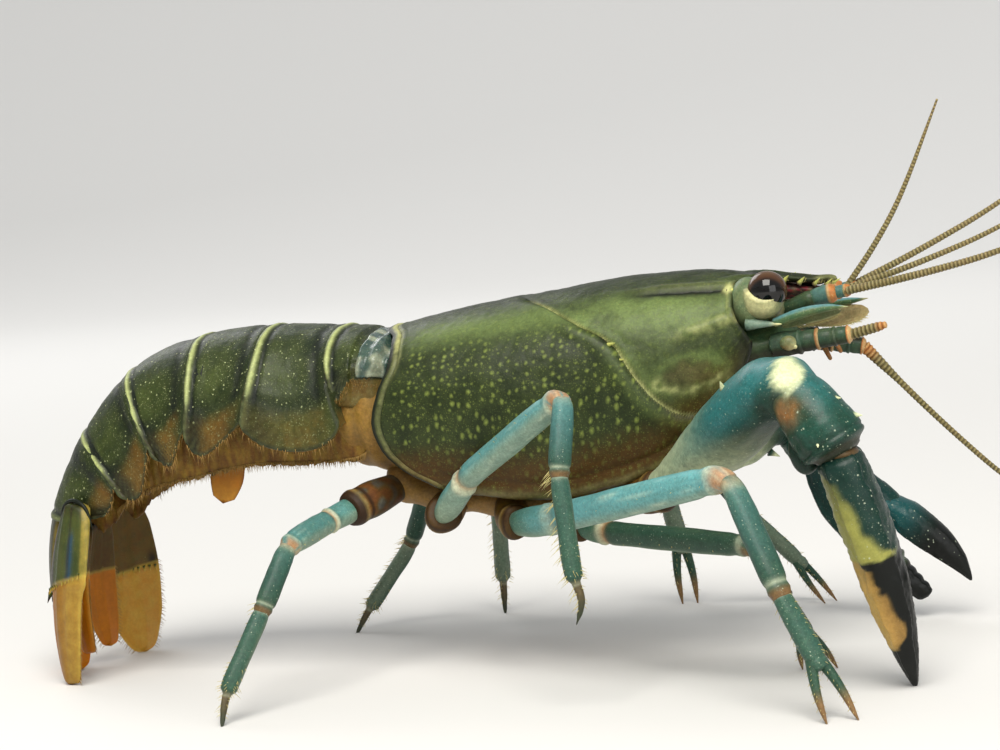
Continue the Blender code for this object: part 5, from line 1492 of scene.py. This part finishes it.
def make_leg(name):
    pair, letter = name.split("_")
    side = SIDES[letter]
    joints, route = leg_route(name)
    ends = route.joints
    size = LEG_SIZE[pair]
    label = f"leg_{pair}_{letter}_"
    # A low value paints the whole leg darker and less blue: painted shade for legs under and beyond the body
    blue_and_lit = LEG_BLUE_AND_LIT.get(name, 0.30)
    ringed_hip = 0.3 if name == "3_R" else 1.0
    hip = (ends[2] - ends[1]) / (ends[3] - ends[1])

    def upper_marks(t, angle, point):
        streak = 0.5 + 0.5 * rough((t * 5, angle * 3.4, 0), 1.6, size * 9)
        lower = ramp(-side * math.cos(angle), 0.2, -0.7)
        rings = hump(t - hip + 0.02, 0.018) * ringed_hip
        warm = 0.75 * hump(t - hip, 0.022) * ringed_hip + 0.3 * ramp(t, 0.06, 0.0)
        warm += 0.75 * ramp(t, 0.93, 0.985) * ramp(streak, 0.2, 0.5)
        pale = 0.55 * rings + 0.40 * hump(t - 0.945, 0.012) + 0.28 * lower
        pale += 0.35 * ramp(streak, 0.62, 0.85) * blue_and_lit * ramp(t, 0.2, 0.5)
        dark = 0.62 * (1 - blue_and_lit) * ramp(t, 0.1, 0.3) * (1 - 0.5 * lower) + 0.25 * hump(t - hip - 0.03, 0.02)
        return {"cool": blue_and_lit * ramp(t, 0.0, 0.25) * mix(0.6, 1.0, streak) * (1 - 0.55 * lower),
                "warm": warm, "pale": pale, "dark": dark, "spot": 0.5}

    def wrist_marks(t, angle, point):
        patch = 0.5 + 0.5 * rough(point, 0.8, 9.0)
        return {"cool": (0.75 if name == "4_R" else 0.30) * blue_and_lit * ramp(t, 1.0, 0.4), "spot": 0.7,
                "warm": 0.80 * ramp(t, 0.16, 0.04) * ramp(patch, 0.25, 0.6) + 0.75 * ramp(t, 0.92, 0.98),
                "pale": 0.45 * hump(t - 0.10, 0.05) * patch + 0.40 * hump(t - 0.90, 0.02),
                "dark": mix(0.45, 0.80, ramp(t, 0.1, 0.5)) * (1 - 0.25 * blue_and_lit)}

    def foot_marks(t, angle, point):
        claw = ramp(t, 0.71, 0.75)
        lower = ramp(-side * math.cos(angle), 0.2, -0.7)
        pale = 0.30 * hump(t - 0.04, 0.02) + 0.30 * hump(t - 0.745, 0.012) + 0.18 * lower * (1 - claw)
        dark = 0.62 * (1 - 0.25 * blue_and_lit) * (1 - claw) + claw * mix(0.74, 0.92, ramp(t, 0.78, 0.95))
        return {"cool": 0.16 * blue_and_lit * (1 - t), "warm": max(0.75 * ramp(t, 0.05, 0.0), claw * 0.6),
                "pale": pale, "dark": dark, "spot": 0.8 * (1 - claw)}

    cell = (0.05 + 0.22 * (int(pair) - 2), 0.1 + (0.4 if side > 0 else 0.0))

    def hairs(line, start, end, radius, turns, count, length, row):
        limb_hairs("leg_bristles", line, start, end, radius, turns, count, length, (cell[0], cell[1] + row))

    hairs(route, ends[2], ends[3], lambda t: UPPER_LEG(mix(hip, 1.0, t)) * size, (-1.4, 2.4), 7, 0.45, 0.0)
    merus = Shape()
    segment(merus, route, ends[1], ends[3], lambda t: UPPER_LEG(t) * size, upper_marks, rings=84, joint=hip)
    show(label + "upper", merus, LEG_SHELL, "limb_shell", label + "merus")
    carpus = Shape()
    segment(carpus, route, ends[3], ends[4], lambda t: CARPUS(t) * size, wrist_marks)
    show(label + "wrist", carpus, LEG_SHELL, "limb_shell", label + "carpus")
    foot = Shape()
    if name not in PINCER_TIPS:
        def foot_radius(t):
            return LONG_FOOT(t) * size

        reach = 1.5 if name == "4_R" else 0.9
        hairs(route, ends[4] - 0.9, ends[4] + 0.3, lambda t: CARPUS(1.0) * size, (-1.57, -1.2), 5,
              reach * 1.4, 0.2)
        hairs(route, mix(ends[4], ends[-1], 0.62), mix(ends[4], ends[-1], 0.70), lambda t: foot_radius(0.66),
              (-1.57, -0.5, 0.6, 1.57, 2.6, 3.7), 4, 0.8, 0.3)
        hairs(route, ends[4], ends[-1] - 1.5, foot_radius, (-1.57, -1.2), 15, reach, 0.12)
        hairs(route, mix(ends[4], ends[-1], 0.45), ends[-1] - 1.2, lambda t: foot_radius(mix(0.45, 0.9, t)),
              (1.57, -0.4), 12, 0.6, 0.24)
        segment(foot, route, ends[4], ends[-1] - 0.25, foot_radius, foot_marks, rings=64)
        show(label + "toe", foot, LEG_SHELL, "limb_shell", label + "foot")
        return
    segment(foot, route, ends[4], ends[5], lambda t: PALM(t) * size,
            lambda t, angle, point: {**foot_marks(t * 0.7, angle, point), "cool": 0.08 * blue_and_lit})
    hairs(route, ends[4], ends[5], lambda t: PALM(t) * size, (-1.57, 1.4), 14, 0.6, 0.12)
    knuckle = Vector(joints[-1])
    inward = (route.point(ends[4]) - knuckle).normalized()
    tips = [Vector(on_side(tip, side)) for tip in PINCER_TIPS[name]]
    toward = (tips[1] - tips[0]).normalized()
    for tip, lean in zip(tips, (-0.38, 0.38)):
        base = knuckle + inward * 1.0 + toward * lean * size
        finger = Route([base, base.lerp(tip, 0.5) + toward * lean * 0.9, tip], bend=4, side=(1, 0, 0.5))

        def finger_marks(t, angle, point):
            end = ramp(t, 0.45, 0.75)
            return {"warm": 0.65 * end, "dark": 0.6 * (1 - end) + 0.45 * end, "spot": 0.5 * (1 - end)}

        hairs(finger, 0.8, finger.joints[-1] - 0.8, lambda t: FINGER(t) * size * 0.9, (-1.57, 1.57, 0.0),
              9, 0.5, 0.24)
        foot.tube(finger, 0, finger.joints[-1] - 0.1, lambda t, angle: FINGER(t) * size, finger_marks,
                  18, 30, 0.2)
    show(label + "pincers", foot, LEG_SHELL, "limb_shell", label + "pincer")


# Claw limbs

# The far end of the merus and that of the carpus
CLAW_LIMB = {
    "R": ((36.2, 24.0, 32.6), (41.8, 26.0, 25.0)),
    "L": ((28.8, 16.5, 24.8), (32.9, 18.0, 19.8)),
}
CLAW_TIP = {"R": (46.9, 19.6, -0.2), "L": (45.9, 18.6, 2.1)}
CLAW_OPENING = {"R": 0.0, "L": math.radians(20)}
CLAW_BROAD = {"R": (0.14, -0.99, 0.0), "L": (-0.76, 0.1, -0.64)}
CLAW_WIDTH = {"R": 1.0, "L": 0.86}
CLAW_MERUS = profile((0, 1.9), (0.12, 2.2), (0.4, 3.1), (0.68, 3.75), (0.84, 3.7), (0.94, 3.5), (1, 3.0))
CLAW_CARPUS = profile((0, 2.8), (0.12, 3.1), (0.4, 3.35), (0.7, 3.6), (0.88, 3.6), (1, 2.6))
FIXED_EDGE = {
    "R": profile((0, 2.5), (0.12, 3.5), (0.35, 4.3), (0.6, 3.9), (0.85, 2.3), (0.96, 1.0), (1, 0.35)),
    "L": profile((0, 2.6), (0.12, 4.2), (0.3, 5.5), (0.5, 5.4), (0.7, 4.4), (0.88, 3.1), (1, 2.2)),
}
PALM_EDGE = {
    "R": profile((0, -2.5), (0.1, -3.8), (0.3, -5.3), (0.44, -5.3), (0.485, -4.6), (0.515, -1.2),
                 (0.55, 0.45), (0.7, 0.7), (0.9, 0.45), (1, 0.1)),
    "L": profile((0, -2.3), (0.15, -2.9), (0.3, -3.7), (0.44, -4.4), (0.485, -3.8), (0.515, -1.2),
                 (0.55, 0.45), (0.7, 0.7), (0.9, 0.45), (1, 0.1)),
}
MOVING_EDGE = profile((0.42, -4.6), (0.5, -5.0), (0.56, -5.2), (0.75, -4.5), (0.9, -2.8), (0.97, -1.2),
                      (1, -0.4))
CUTTING_EDGE = profile((0.42, -2.4), (0.5, -1.6), (0.56, -0.7), (0.7, -0.35), (0.9, -0.2), (1, 0.0))
CLAW_DEPTH = profile((0, 2.2), (0.12, 2.5), (0.3, 2.6), (0.42, 2.5), (0.6, 2.3), (0.84, 1.5), (0.95, 0.75),
                     (1, 0.3))
CLAW_BOW = 0.45
# The finger's hinge, as a share of the claw's length and millimetres across it
HINGE = (0.52, -3.2)
TEETH_START = 0.56
# Bounds of the near claw's pattern: its pale side against the green, and the window in the black finger
PALE_BOUND = profile((0.06, 1.1), (0.10, 0.55), (0.14, 0.35), (0.22, 0.19), (0.28, 0.11), (0.33, 0.0),
                     (0.38, -0.22), (0.405, -0.6), (0.42, -0.9))
WINDOW_BOUND = profile((0.42, 0.30), (0.487, 0.18), (0.54, 0.10), (0.646, -0.12), (0.75, -0.28), (0.79, 0.20))
# Dark moles in the window, as shares of the claw's length and millimetres across it
MOLES = ((0.53, 4.0), (0.57, 3.9))


def claw_half(shape, wrist, tip, broad, size, upper_edge, lower_edge, span, marks, opening=0.0, teeth=0.0,
              around=64, rings=110):
    """Half of a claw between two edges, turned open about the hinge of its finger."""
    start, end = Vector(wrist), Vector(tip)
    _, across, through = blade_frame(start, end, broad)
    bow = math.copysign(CLAW_BOW, through.x)
    hinge = start.lerp(end, HINGE[0]) + across * HINGE[1] * size
    turn_open = Matrix.Rotation(-opening, 3, through)

    def place(turn, along):
        station = mix(span[0], span[1], along)
        angle = 2 * math.pi * turn
        close = rounded(along, 0.05, 0.03)
        top, low = upper_edge(station) * size, lower_edge(station) * size
        bite = 0.0
        if station > TEETH_START:
            bite = 0.26 * abs(math.sin(station * 62))
            bite *= ramp(station, TEETH_START, 0.6) * ramp(station, 0.97, 0.88)
            bite += 0.45 * hump(station - 0.68, 0.02)
        low -= bite * size * teeth
        middle, half = (top + low) / 2, (top - low) / 2
        depth = CLAW_DEPTH(station) * min(1.0, 0.66 + half / 6)
        lateral, face = math.cos(angle), math.sin(angle)
        keel = 0.16 * hump(lateral - 0.86, 0.10) + 0.10 * hump(lateral + 0.86, 0.10)
        grain = 0.09 * rough((station * 20, lateral * 3, face * 3), 0.9, size)
        grain += 0.05 * rough((station * 60, lateral * 8, face * 8), 0.9)
        centre = start.lerp(end, station) + across * (middle + half * close * lateral)
        centre += through * bow * 4 * station * (1 - station)
        raised = math.copysign(keel + grain, face) if abs(face) > 0.05 else 0.0
        point = centre + through * (depth * close * (face + raised))
        point = hinge + turn_open @ (point - hinge)
        return point, marks(station, lateral, face, point)

    shape.grid(around, rings, place)


def claw_route(letter):
    side = SIDES[letter]
    root, coxa = LIMB_ROOTS[1]
    elbow, wrist = CLAW_LIMB[letter]
    joints = [on_side(point, side) for point in (root, coxa, elbow, wrist)]
    tip = Vector(on_side(CLAW_TIP[letter], side))
    forward = (tip - Vector(joints[-1])).normalized()
    return tip, Route([*joints, Vector(joints[-1]) + forward * 4], bend=4.2, side=(0.2, side, 0))


def make_claw_limb(letter):
    side = SIDES[letter]
    tip, route = claw_route(letter)
    ends = route.joints
    size = CLAW_WIDTH[letter]
    near = letter == "R"
    knee = route.point(ends[2])
    knee_patch = knee + Vector((0.6, side * 2.6, 2.5))
    knee_spot = knee + Vector((0.9, side * 3.0, -1.6))

    def knee_marks(point):
        away = point - knee_patch
        near_patch = hump(math.hypot(away.x * 1.5, away.y * 0.8, away.z), 2.6) + 0.22 * rough(point, 0.8, 4.0)
        near_spot = hump((point - knee_spot).length + 0.3 * rough(point, 1.0), 1.3)
        return 0.95 * ramp(near_patch, 0.30, 0.62), 0.9 * near_spot

    def upper_marks(t, angle, point):
        white, orange = knee_marks(point)
        high = ramp(side * math.cos(angle), -0.5, 0.6)
        root = ramp(t + 0.18 * high, 0.85, 0.36)
        return {"pale": 0.62 * root + white, "warm": orange + 0.12 * root * (1 - high), "spot": 0.5,
                "cool": max(0.60 * high, 0.50 * root) * (1 - white),
                "dark": 0.60 * (1 - high) * ramp(t, 0.45, 0.70)}

    def upper_radius(t, angle):
        ridge = 0.05 * math.cos(2 * angle) + 0.03 * math.cos(3 * angle + 1.0)
        pinch = -0.05 * hump(t - 0.90, 0.02) + 0.05 * hump(t - 0.95, 0.02)
        hollow = 0.22 * ramp(-side * math.cos(angle), 0.1, 0.9) * ramp(t, 0.5, 0.82)
        return CLAW_MERUS(t) * size * (1 + ridge + pinch - hollow + 0.03 * rough((t * 8, angle, 0), 1.4))

    merus = Shape()
    merus.tube(route, ends[1] - 0.5, ends[2] + 1.4, upper_radius, upper_marks, 48, 90, 0.9)
    for place, turn, reach in ((0.84, 0.10, 1.2), (0.22, 0.6, 0.9), (0.76, 3.0, 1.1)):
        point, ahead, out, other = route.frame(mix(ends[1], ends[2], place))
        direction = (other * math.cos(turn) + out * math.sin(turn)).normalized()
        base = point + direction * CLAW_MERUS(place) * size * 0.92
        merus.cone(base, base + direction * 0.95 * reach + ahead * 0.75 * reach, 0.42 * reach)
    show(f"claw_upper_{letter}", merus, CLAW_SHELL, "limb_shell", f"claw_{letter}_merus")

    def wrist_marks(t, angle, point):
        white, orange = knee_marks(point)
        return {"pale": white, "warm": orange + 0.20 * ramp(t, 0.955, 0.99), "spot": 0.8,
                "dark": 0.25 * ramp(t, 0.2, 0.6) + 0.30 * ramp(t, 0.6, 0.9) + 0.3 * ramp(t, 0.94, 1.0),
                "cool": 0.38 * ramp(side * math.cos(angle), -0.2, 0.7) * ramp(t, 0.75, 0.2)}

    def wrist_radius(t, angle):
        groove = -0.06 * hump(math.sin(angle - 0.6), 0.2) * ramp(t, 0.1, 0.4)
        lip = 0.05 * hump(t - 0.93, 0.025) - 0.04 * hump(t - 0.86, 0.02)
        return CLAW_CARPUS(t) * size * (1 + groove + lip + 0.03 * rough((t * 6, angle * 1.5, 5), 1.3))

    carpus = Shape()
    carpus.tube(route, ends[2] + 0.9, ends[3] + 0.1, wrist_radius, wrist_marks, 48, 60, 0.8)
    for place, turn, reach in ((0.76, 2.9, 1.0), (0.5, 2.7, 0.7), (0.84, 4.4, 0.7), (0.84, 1.2, 0.6)):
        point, ahead, out, other = route.frame(mix(ends[2], ends[3], place))
        direction = (other * math.cos(turn) + out * math.sin(turn)).normalized()
        base = point + direction * CLAW_CARPUS(place) * size * 0.9
        carpus.cone(base, base + direction * 0.9 * reach + ahead * 0.7 * reach, 0.45 * reach)
    joint = route.point(ends[3] + 0.25)
    carpus.ball(joint, (2.1 * size, 2.1 * size, 0.9 * size), lambda point: {"warm": 0.36, "dark": 0.55},
                36, 22)
    if near:
        # The inner lobe of the carpus, beside the palm. Its near-black colour is painted shade
        carpus.ball((37.9, -24.6, 25.6), (1.7, 2.0, 2.7), lambda point: {"dark": 0.85}, 32, 24)
    show(f"claw_wrist_{letter}", carpus, CLAW_SHELL, "limb_shell", f"claw_{letter}_carpus")

    start = route.point(ends[3] - 0.35)
    broad = Vector(CLAW_BROAD[letter]).normalized()
    through_x = (tip - start).cross(broad).x
    mole_places = [start.lerp(tip, station) + broad * reach * size for station, reach in MOLES]

    def palm_marks(station, lateral, face, point):
        fray = rough(point, 0.55, 2.0)
        left = math.copysign(1.0, -through_x) * face
        if near:
            shown = ramp(lateral, -0.35, 0.15)
            finger = ramp(station + 0.02 * fray, 0.416, 0.428)
            pale = ramp(left - PALE_BOUND(station) + 0.16 * fray, -0.16, 0.18) * shown
            pale *= mix(0.55, 1.0, ramp(station, 0.1, 0.3))
            opens = mix(0.448, 0.405, ramp(left, 0.35, 0.75)) + 0.01 * fray
            window = ramp(station, opens, opens + 0.014) * ramp(station + 0.03 * fray, 0.800, 0.780) * shown
            window *= ramp(left - WINDOW_BOUND(station) + 0.18 * fray, -0.14, 0.10)
            moles = max(hump((point - mole).length, 0.36) for mole in mole_places)
            dark = max(finger * (1 - window), 0.15 * (1 - finger)) + 0.85 * moles * window
            dark += 0.45 * window * ramp(left - WINDOW_BOUND(station), 0.75, 0.1)
            return {"pale": 0.90 * pale * (1 - finger) + 0.25 * window * ramp(left, 0.2, 0.8),
                    "warm": max(window * (1 - 0.6 * moles), 0.5 * ramp(station, 0.975, 0.99)),
                    "cool": 0.12 * (1 - finger), "dark": dark, "spot": 0.8 * (1 - finger)}
        black = ramp(station + 0.04 * fray, 0.70, 0.76)
        return {"pale": 0.15 * ramp(station, 0.42, 0.56) * (1 - black), "cool": 0.30 * (1 - black),
                "dark": black + 0.20 * ramp(station, 0.5, 0.4), "spot": 0.9 * (1 - black)}

    def finger_marks(station, lateral, face, point):
        black = ramp(station, 0.52, 0.56) if near else ramp(station, 0.50, 0.76)
        spot = 0.0 if near else 0.9 * ramp(station, 0.97, 0.80)
        return {"dark": black, "cool": 0.75 * (1 - black), "spot": spot}

    palm = Shape()
    claw_half(palm, start, tip, CLAW_BROAD[letter], size, FIXED_EDGE[letter], PALM_EDGE[letter],
              (0.0, 1.0 if near else 0.94), palm_marks, teeth=0.8)
    show(f"claw_hand_{letter}", palm, HAND_SHELL, "limb_shell", f"claw_{letter}_palm")
    finger = Shape()
    claw_half(finger, start, tip, CLAW_BROAD[letter], size, CUTTING_EDGE, MOVING_EDGE,
              (0.49 if near else 0.38, 1.0), finger_marks, CLAW_OPENING[letter], around=48, rings=90)
    show(f"claw_thumb_{letter}", finger, HAND_SHELL, "claw_finger", f"claw_{letter}_finger")


# Body beneath the shell

sternum_width = profile((-14, 3.0), (-11, 5.4), (0, 6.6), (12, 6.0), (18, 4.4), (21, 2.4))
sternum_low = profile((-14, 19.8), (-11, 18.2), (-4, 17.0), (6, 16.2), (13, 16.8), (18, 18.8), (21, 20.8))
sternum_top = profile((-14, 23.5), (-11.5, 23.6), (-9, 22.5), (-5, 21.8), (0, 21.3), (7.5, 20.7), (13, 21.5),
                      (18, 22.8), (21, 23.6))
core_half = profile((-20, 6.2), (-15, 7.8), (-10, 8.4), (0, 9.6), (15, 8.6), (24, 6.4), (28, 4.0))
core_low = profile((-20, 25.4), (-16, 23.0), (-12, 22.2), (-6, 23.0), (8, 22.0), (18, 24.5), (28, 32.0))
core_top = profile((-20, 34.0), (-14, 36.0), (-8, 37.2), (15, 40.2), (28, 39.2))


def make_thorax():
    shape = Shape()

    def sternum(across, along):
        x = mix(-14, 21, along)
        angle = 2 * math.pi * across
        close = rounded(along, 0.05, 0.05)
        low, top = sternum_low(x), sternum_top(x)
        ribs = 0.30 * math.cos(x * 0.95) * ramp(-math.sin(angle), 0.2, 1.0)
        point = Vector((x, sternum_width(x) * close * math.cos(angle),
                        (low + top) / 2 + ((top - low) / 2 + ribs) * close * math.sin(angle)))
        return point, {"warm": 0.35, "dark": 0.35 + 0.3 * max(ribs, 0.0), "pale": 0.15}

    shape.grid(48, 90, sternum)

    def core(across, along):
        x = mix(-20, 28, along)
        angle = 2 * math.pi * across
        close = rounded(along, 0.04, 0.1)
        low, top = core_low(x), core_top(x)
        folds = 0.18 * math.sin(x * 2.6 + 0.8 * math.sin(angle)) * ramp(x, -9, -12)
        point = Vector((x, (core_half(x) + folds) * close * math.cos(angle),
                        (low + top) / 2 + (top - low + folds) / 2 * close * math.sin(angle)))
        # Painted shade: darker in the hollows of the folds and towards the top, under the carapace
        dark = 0.2 * ramp(point.z, 30, 34) + 0.35 * max(-folds, 0.0) / 0.18
        return point, {"warm": 0.2, "dark": dark, "pale": 0.1}

    shape.grid(64, 90, core)
    for name in LEG_JOINTS:
        add_coxa(shape, int(name[0]), leg_route(name)[1])
    for letter in SIDES:
        add_coxa(shape, 1, claw_route(letter)[1])
    show("underbody", shape, UNDERSIDE, "underside", "thorax")


def add_coxa(shape, pair, route):
    """The first joints of a limb."""
    radius = ROOT_RADIUS[pair]
    swell = profile((0, radius * 0.8), (0.55, radius * 0.98), (0.75, radius * 0.94), (0.90, radius * 1.0),
                    (1, radius * 0.90))

    def marks(t, angle, point):
        fleck = 0.5 + 0.5 * rough(point, 0.8, 6.0)
        warm, cool = 0.25 * fleck, 0.0
        dark = 0.40 + 0.25 * ramp(t, 0.8, 0.3) + 0.60 * hump(t - 0.97, 0.06) + 0.4 * hump(t - 0.75, 0.04)
        if pair == 5:
            warm, cool = 0.7 * ramp(fleck, 0.5, 0.7), 0.5 * ramp(fleck, 0.55, 0.35)
            dark += 0.22
        return {"warm": warm, "cool": cool, "pale": 0.35 * hump(t - 0.86, 0.04) * (0.2 + fleck), "dark": dark}

    shape.tube(route, 0, route.joints[1] + 0.8, lambda t, angle: swell(t) * (1 + 0.04 * math.cos(3 * angle)),
               marks, 32, 30, 0.3)


# Build

make_carapace()
make_abdomen()
make_telson()
for uropod in UROPODS:
    make_uropod(uropod)
for letter in SIDES:
    make_eye(letter)
    make_antennule(letter)
    make_antenna(letter)
    make_antenna_scale(letter)
    make_maxilliped(letter)
    make_claw_limb(letter)
make_face()
make_thorax()
for leg in LEG_JOINTS:
    make_leg(leg)

# The bristles, one piece for each coat
for coat, finish, slot, thickness in (("leg_bristles", PALE_BRISTLE, "soft_joint", 0.045),
                                      ("belly_fringe", BRISTLE, "underside", 0.05),
                                      ("tail_fringe", BRISTLE, "tail_fan", 0.045),
                                      ("head_bristles", PALE_BRISTLE, "feeler", 0.04),
                                      ("mouth_bristles", BRISTLE, "underside", 0.045)):
    bristles(coat, COATS[coat], finish, slot, thickness)


# Floor, light and camera

FLOOR_HALF_WIDTH = 1.6
FLAT_SHARE = 0.45
RIM_RISE = 1.5


def make_floor():
    """A floor that rises all round the model in one smooth sweep."""
    mesh = bmesh.new()
    bmesh.ops.create_grid(mesh, x_segments=60, y_segments=60, size=1.0)
    for vert in mesh.verts:
        reach = max(math.hypot(vert.co.x, vert.co.y) - FLAT_SHARE, 0.0)
        vert.co = Vector((vert.co.x * FLOOR_HALF_WIDTH, vert.co.y * FLOOR_HALF_WIDTH,
                          RIM_RISE * reach * reach))
    data = bpy.data.meshes.new("studio_floor")
    mesh.to_mesh(data)
    mesh.free()
    data.shade_smooth()
    finish = Finish("floor_paper", 0.85)
    finish.colour((0.70, 0.69, 0.67, 1.0))
    data.materials.append(finish.material)
    floor = bpy.data.objects.new("studio_floor", data)
    bpy.context.scene.collection.objects.link(floor)
    floor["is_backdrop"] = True


def make_light(name, place, target, size, power, tint=(1.0, 1.0, 1.0)):
    data = bpy.data.lights.new(name, "AREA")
    data.size = size
    data.energy = power
    data.color = tint
    lamp = bpy.data.objects.new(name, data)
    bpy.context.scene.collection.objects.link(lamp)
    lamp.location = place
    aim = Vector(target) - Vector(place)
    lamp.rotation_euler = aim.to_track_quat("-Z", "Y").to_euler()


# The photo's camera. Its lengths are in millimetres of the design
AZIMUTH, ELEVATION, ROLL = math.radians(15), math.radians(5), math.radians(4.3)
DISTANCE = 330.0
PIXELS_PER_MM = 8.9
AIM_HEIGHT = 32.4


def make_camera():
    back = Vector((math.sin(AZIMUTH) * math.cos(ELEVATION), -math.cos(AZIMUTH) * math.cos(ELEVATION),
                   math.sin(ELEVATION)))
    right = Vector((math.cos(AZIMUTH), math.sin(AZIMUTH), 0))
    up = back.cross(right)
    across = right * math.cos(ROLL) - up * math.sin(ROLL)
    upright = right * math.sin(ROLL) + up * math.cos(ROLL)
    data = bpy.data.cameras.new("camera")
    data.sensor_width = 36.0
    data.lens = PIXELS_PER_MM * DISTANCE * data.sensor_width / 1000
    data.clip_start = 0.01
    camera = bpy.data.objects.new("camera", data)
    bpy.context.scene.collection.objects.link(camera)
    turned = Matrix((across, upright, back)).transposed().to_4x4()
    place = (Vector((0, 0, AIM_HEIGHT)) + back * DISTANCE) * 0.001 + SHIFT
    camera.matrix_world = Matrix.Translation(place) @ turned
    bpy.context.scene.camera = camera


make_floor()
make_camera()
make_light("key_light", (0.05, -0.38, 0.55), (0, 0, 0.03), 0.40, 5.2, (1.0, 0.97, 0.91))
make_light("front_light", (0.50, -0.55, 0.20), (0, 0, 0.03), 0.5, 1.8)
make_light("back_light", (-0.45, 0.45, 0.45), (0, 0, 0.03), 0.4, 1.4)
make_light("wall_light", (0, 0.55, 0.80), (0, 1.45, 0.25), 0.8, 4.0)
world = bpy.data.worlds.new("studio")
world.use_nodes = True
world.node_tree.nodes["Background"].inputs["Color"].default_value = (0.88, 0.90, 0.92, 1.0)
world.node_tree.nodes["Background"].inputs["Strength"].default_value = 0.55
bpy.context.scene.view_settings.view_transform = "Standard"
bpy.context.scene.world = world

[[list(corner) for corner in box] for box in (cad_box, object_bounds())]
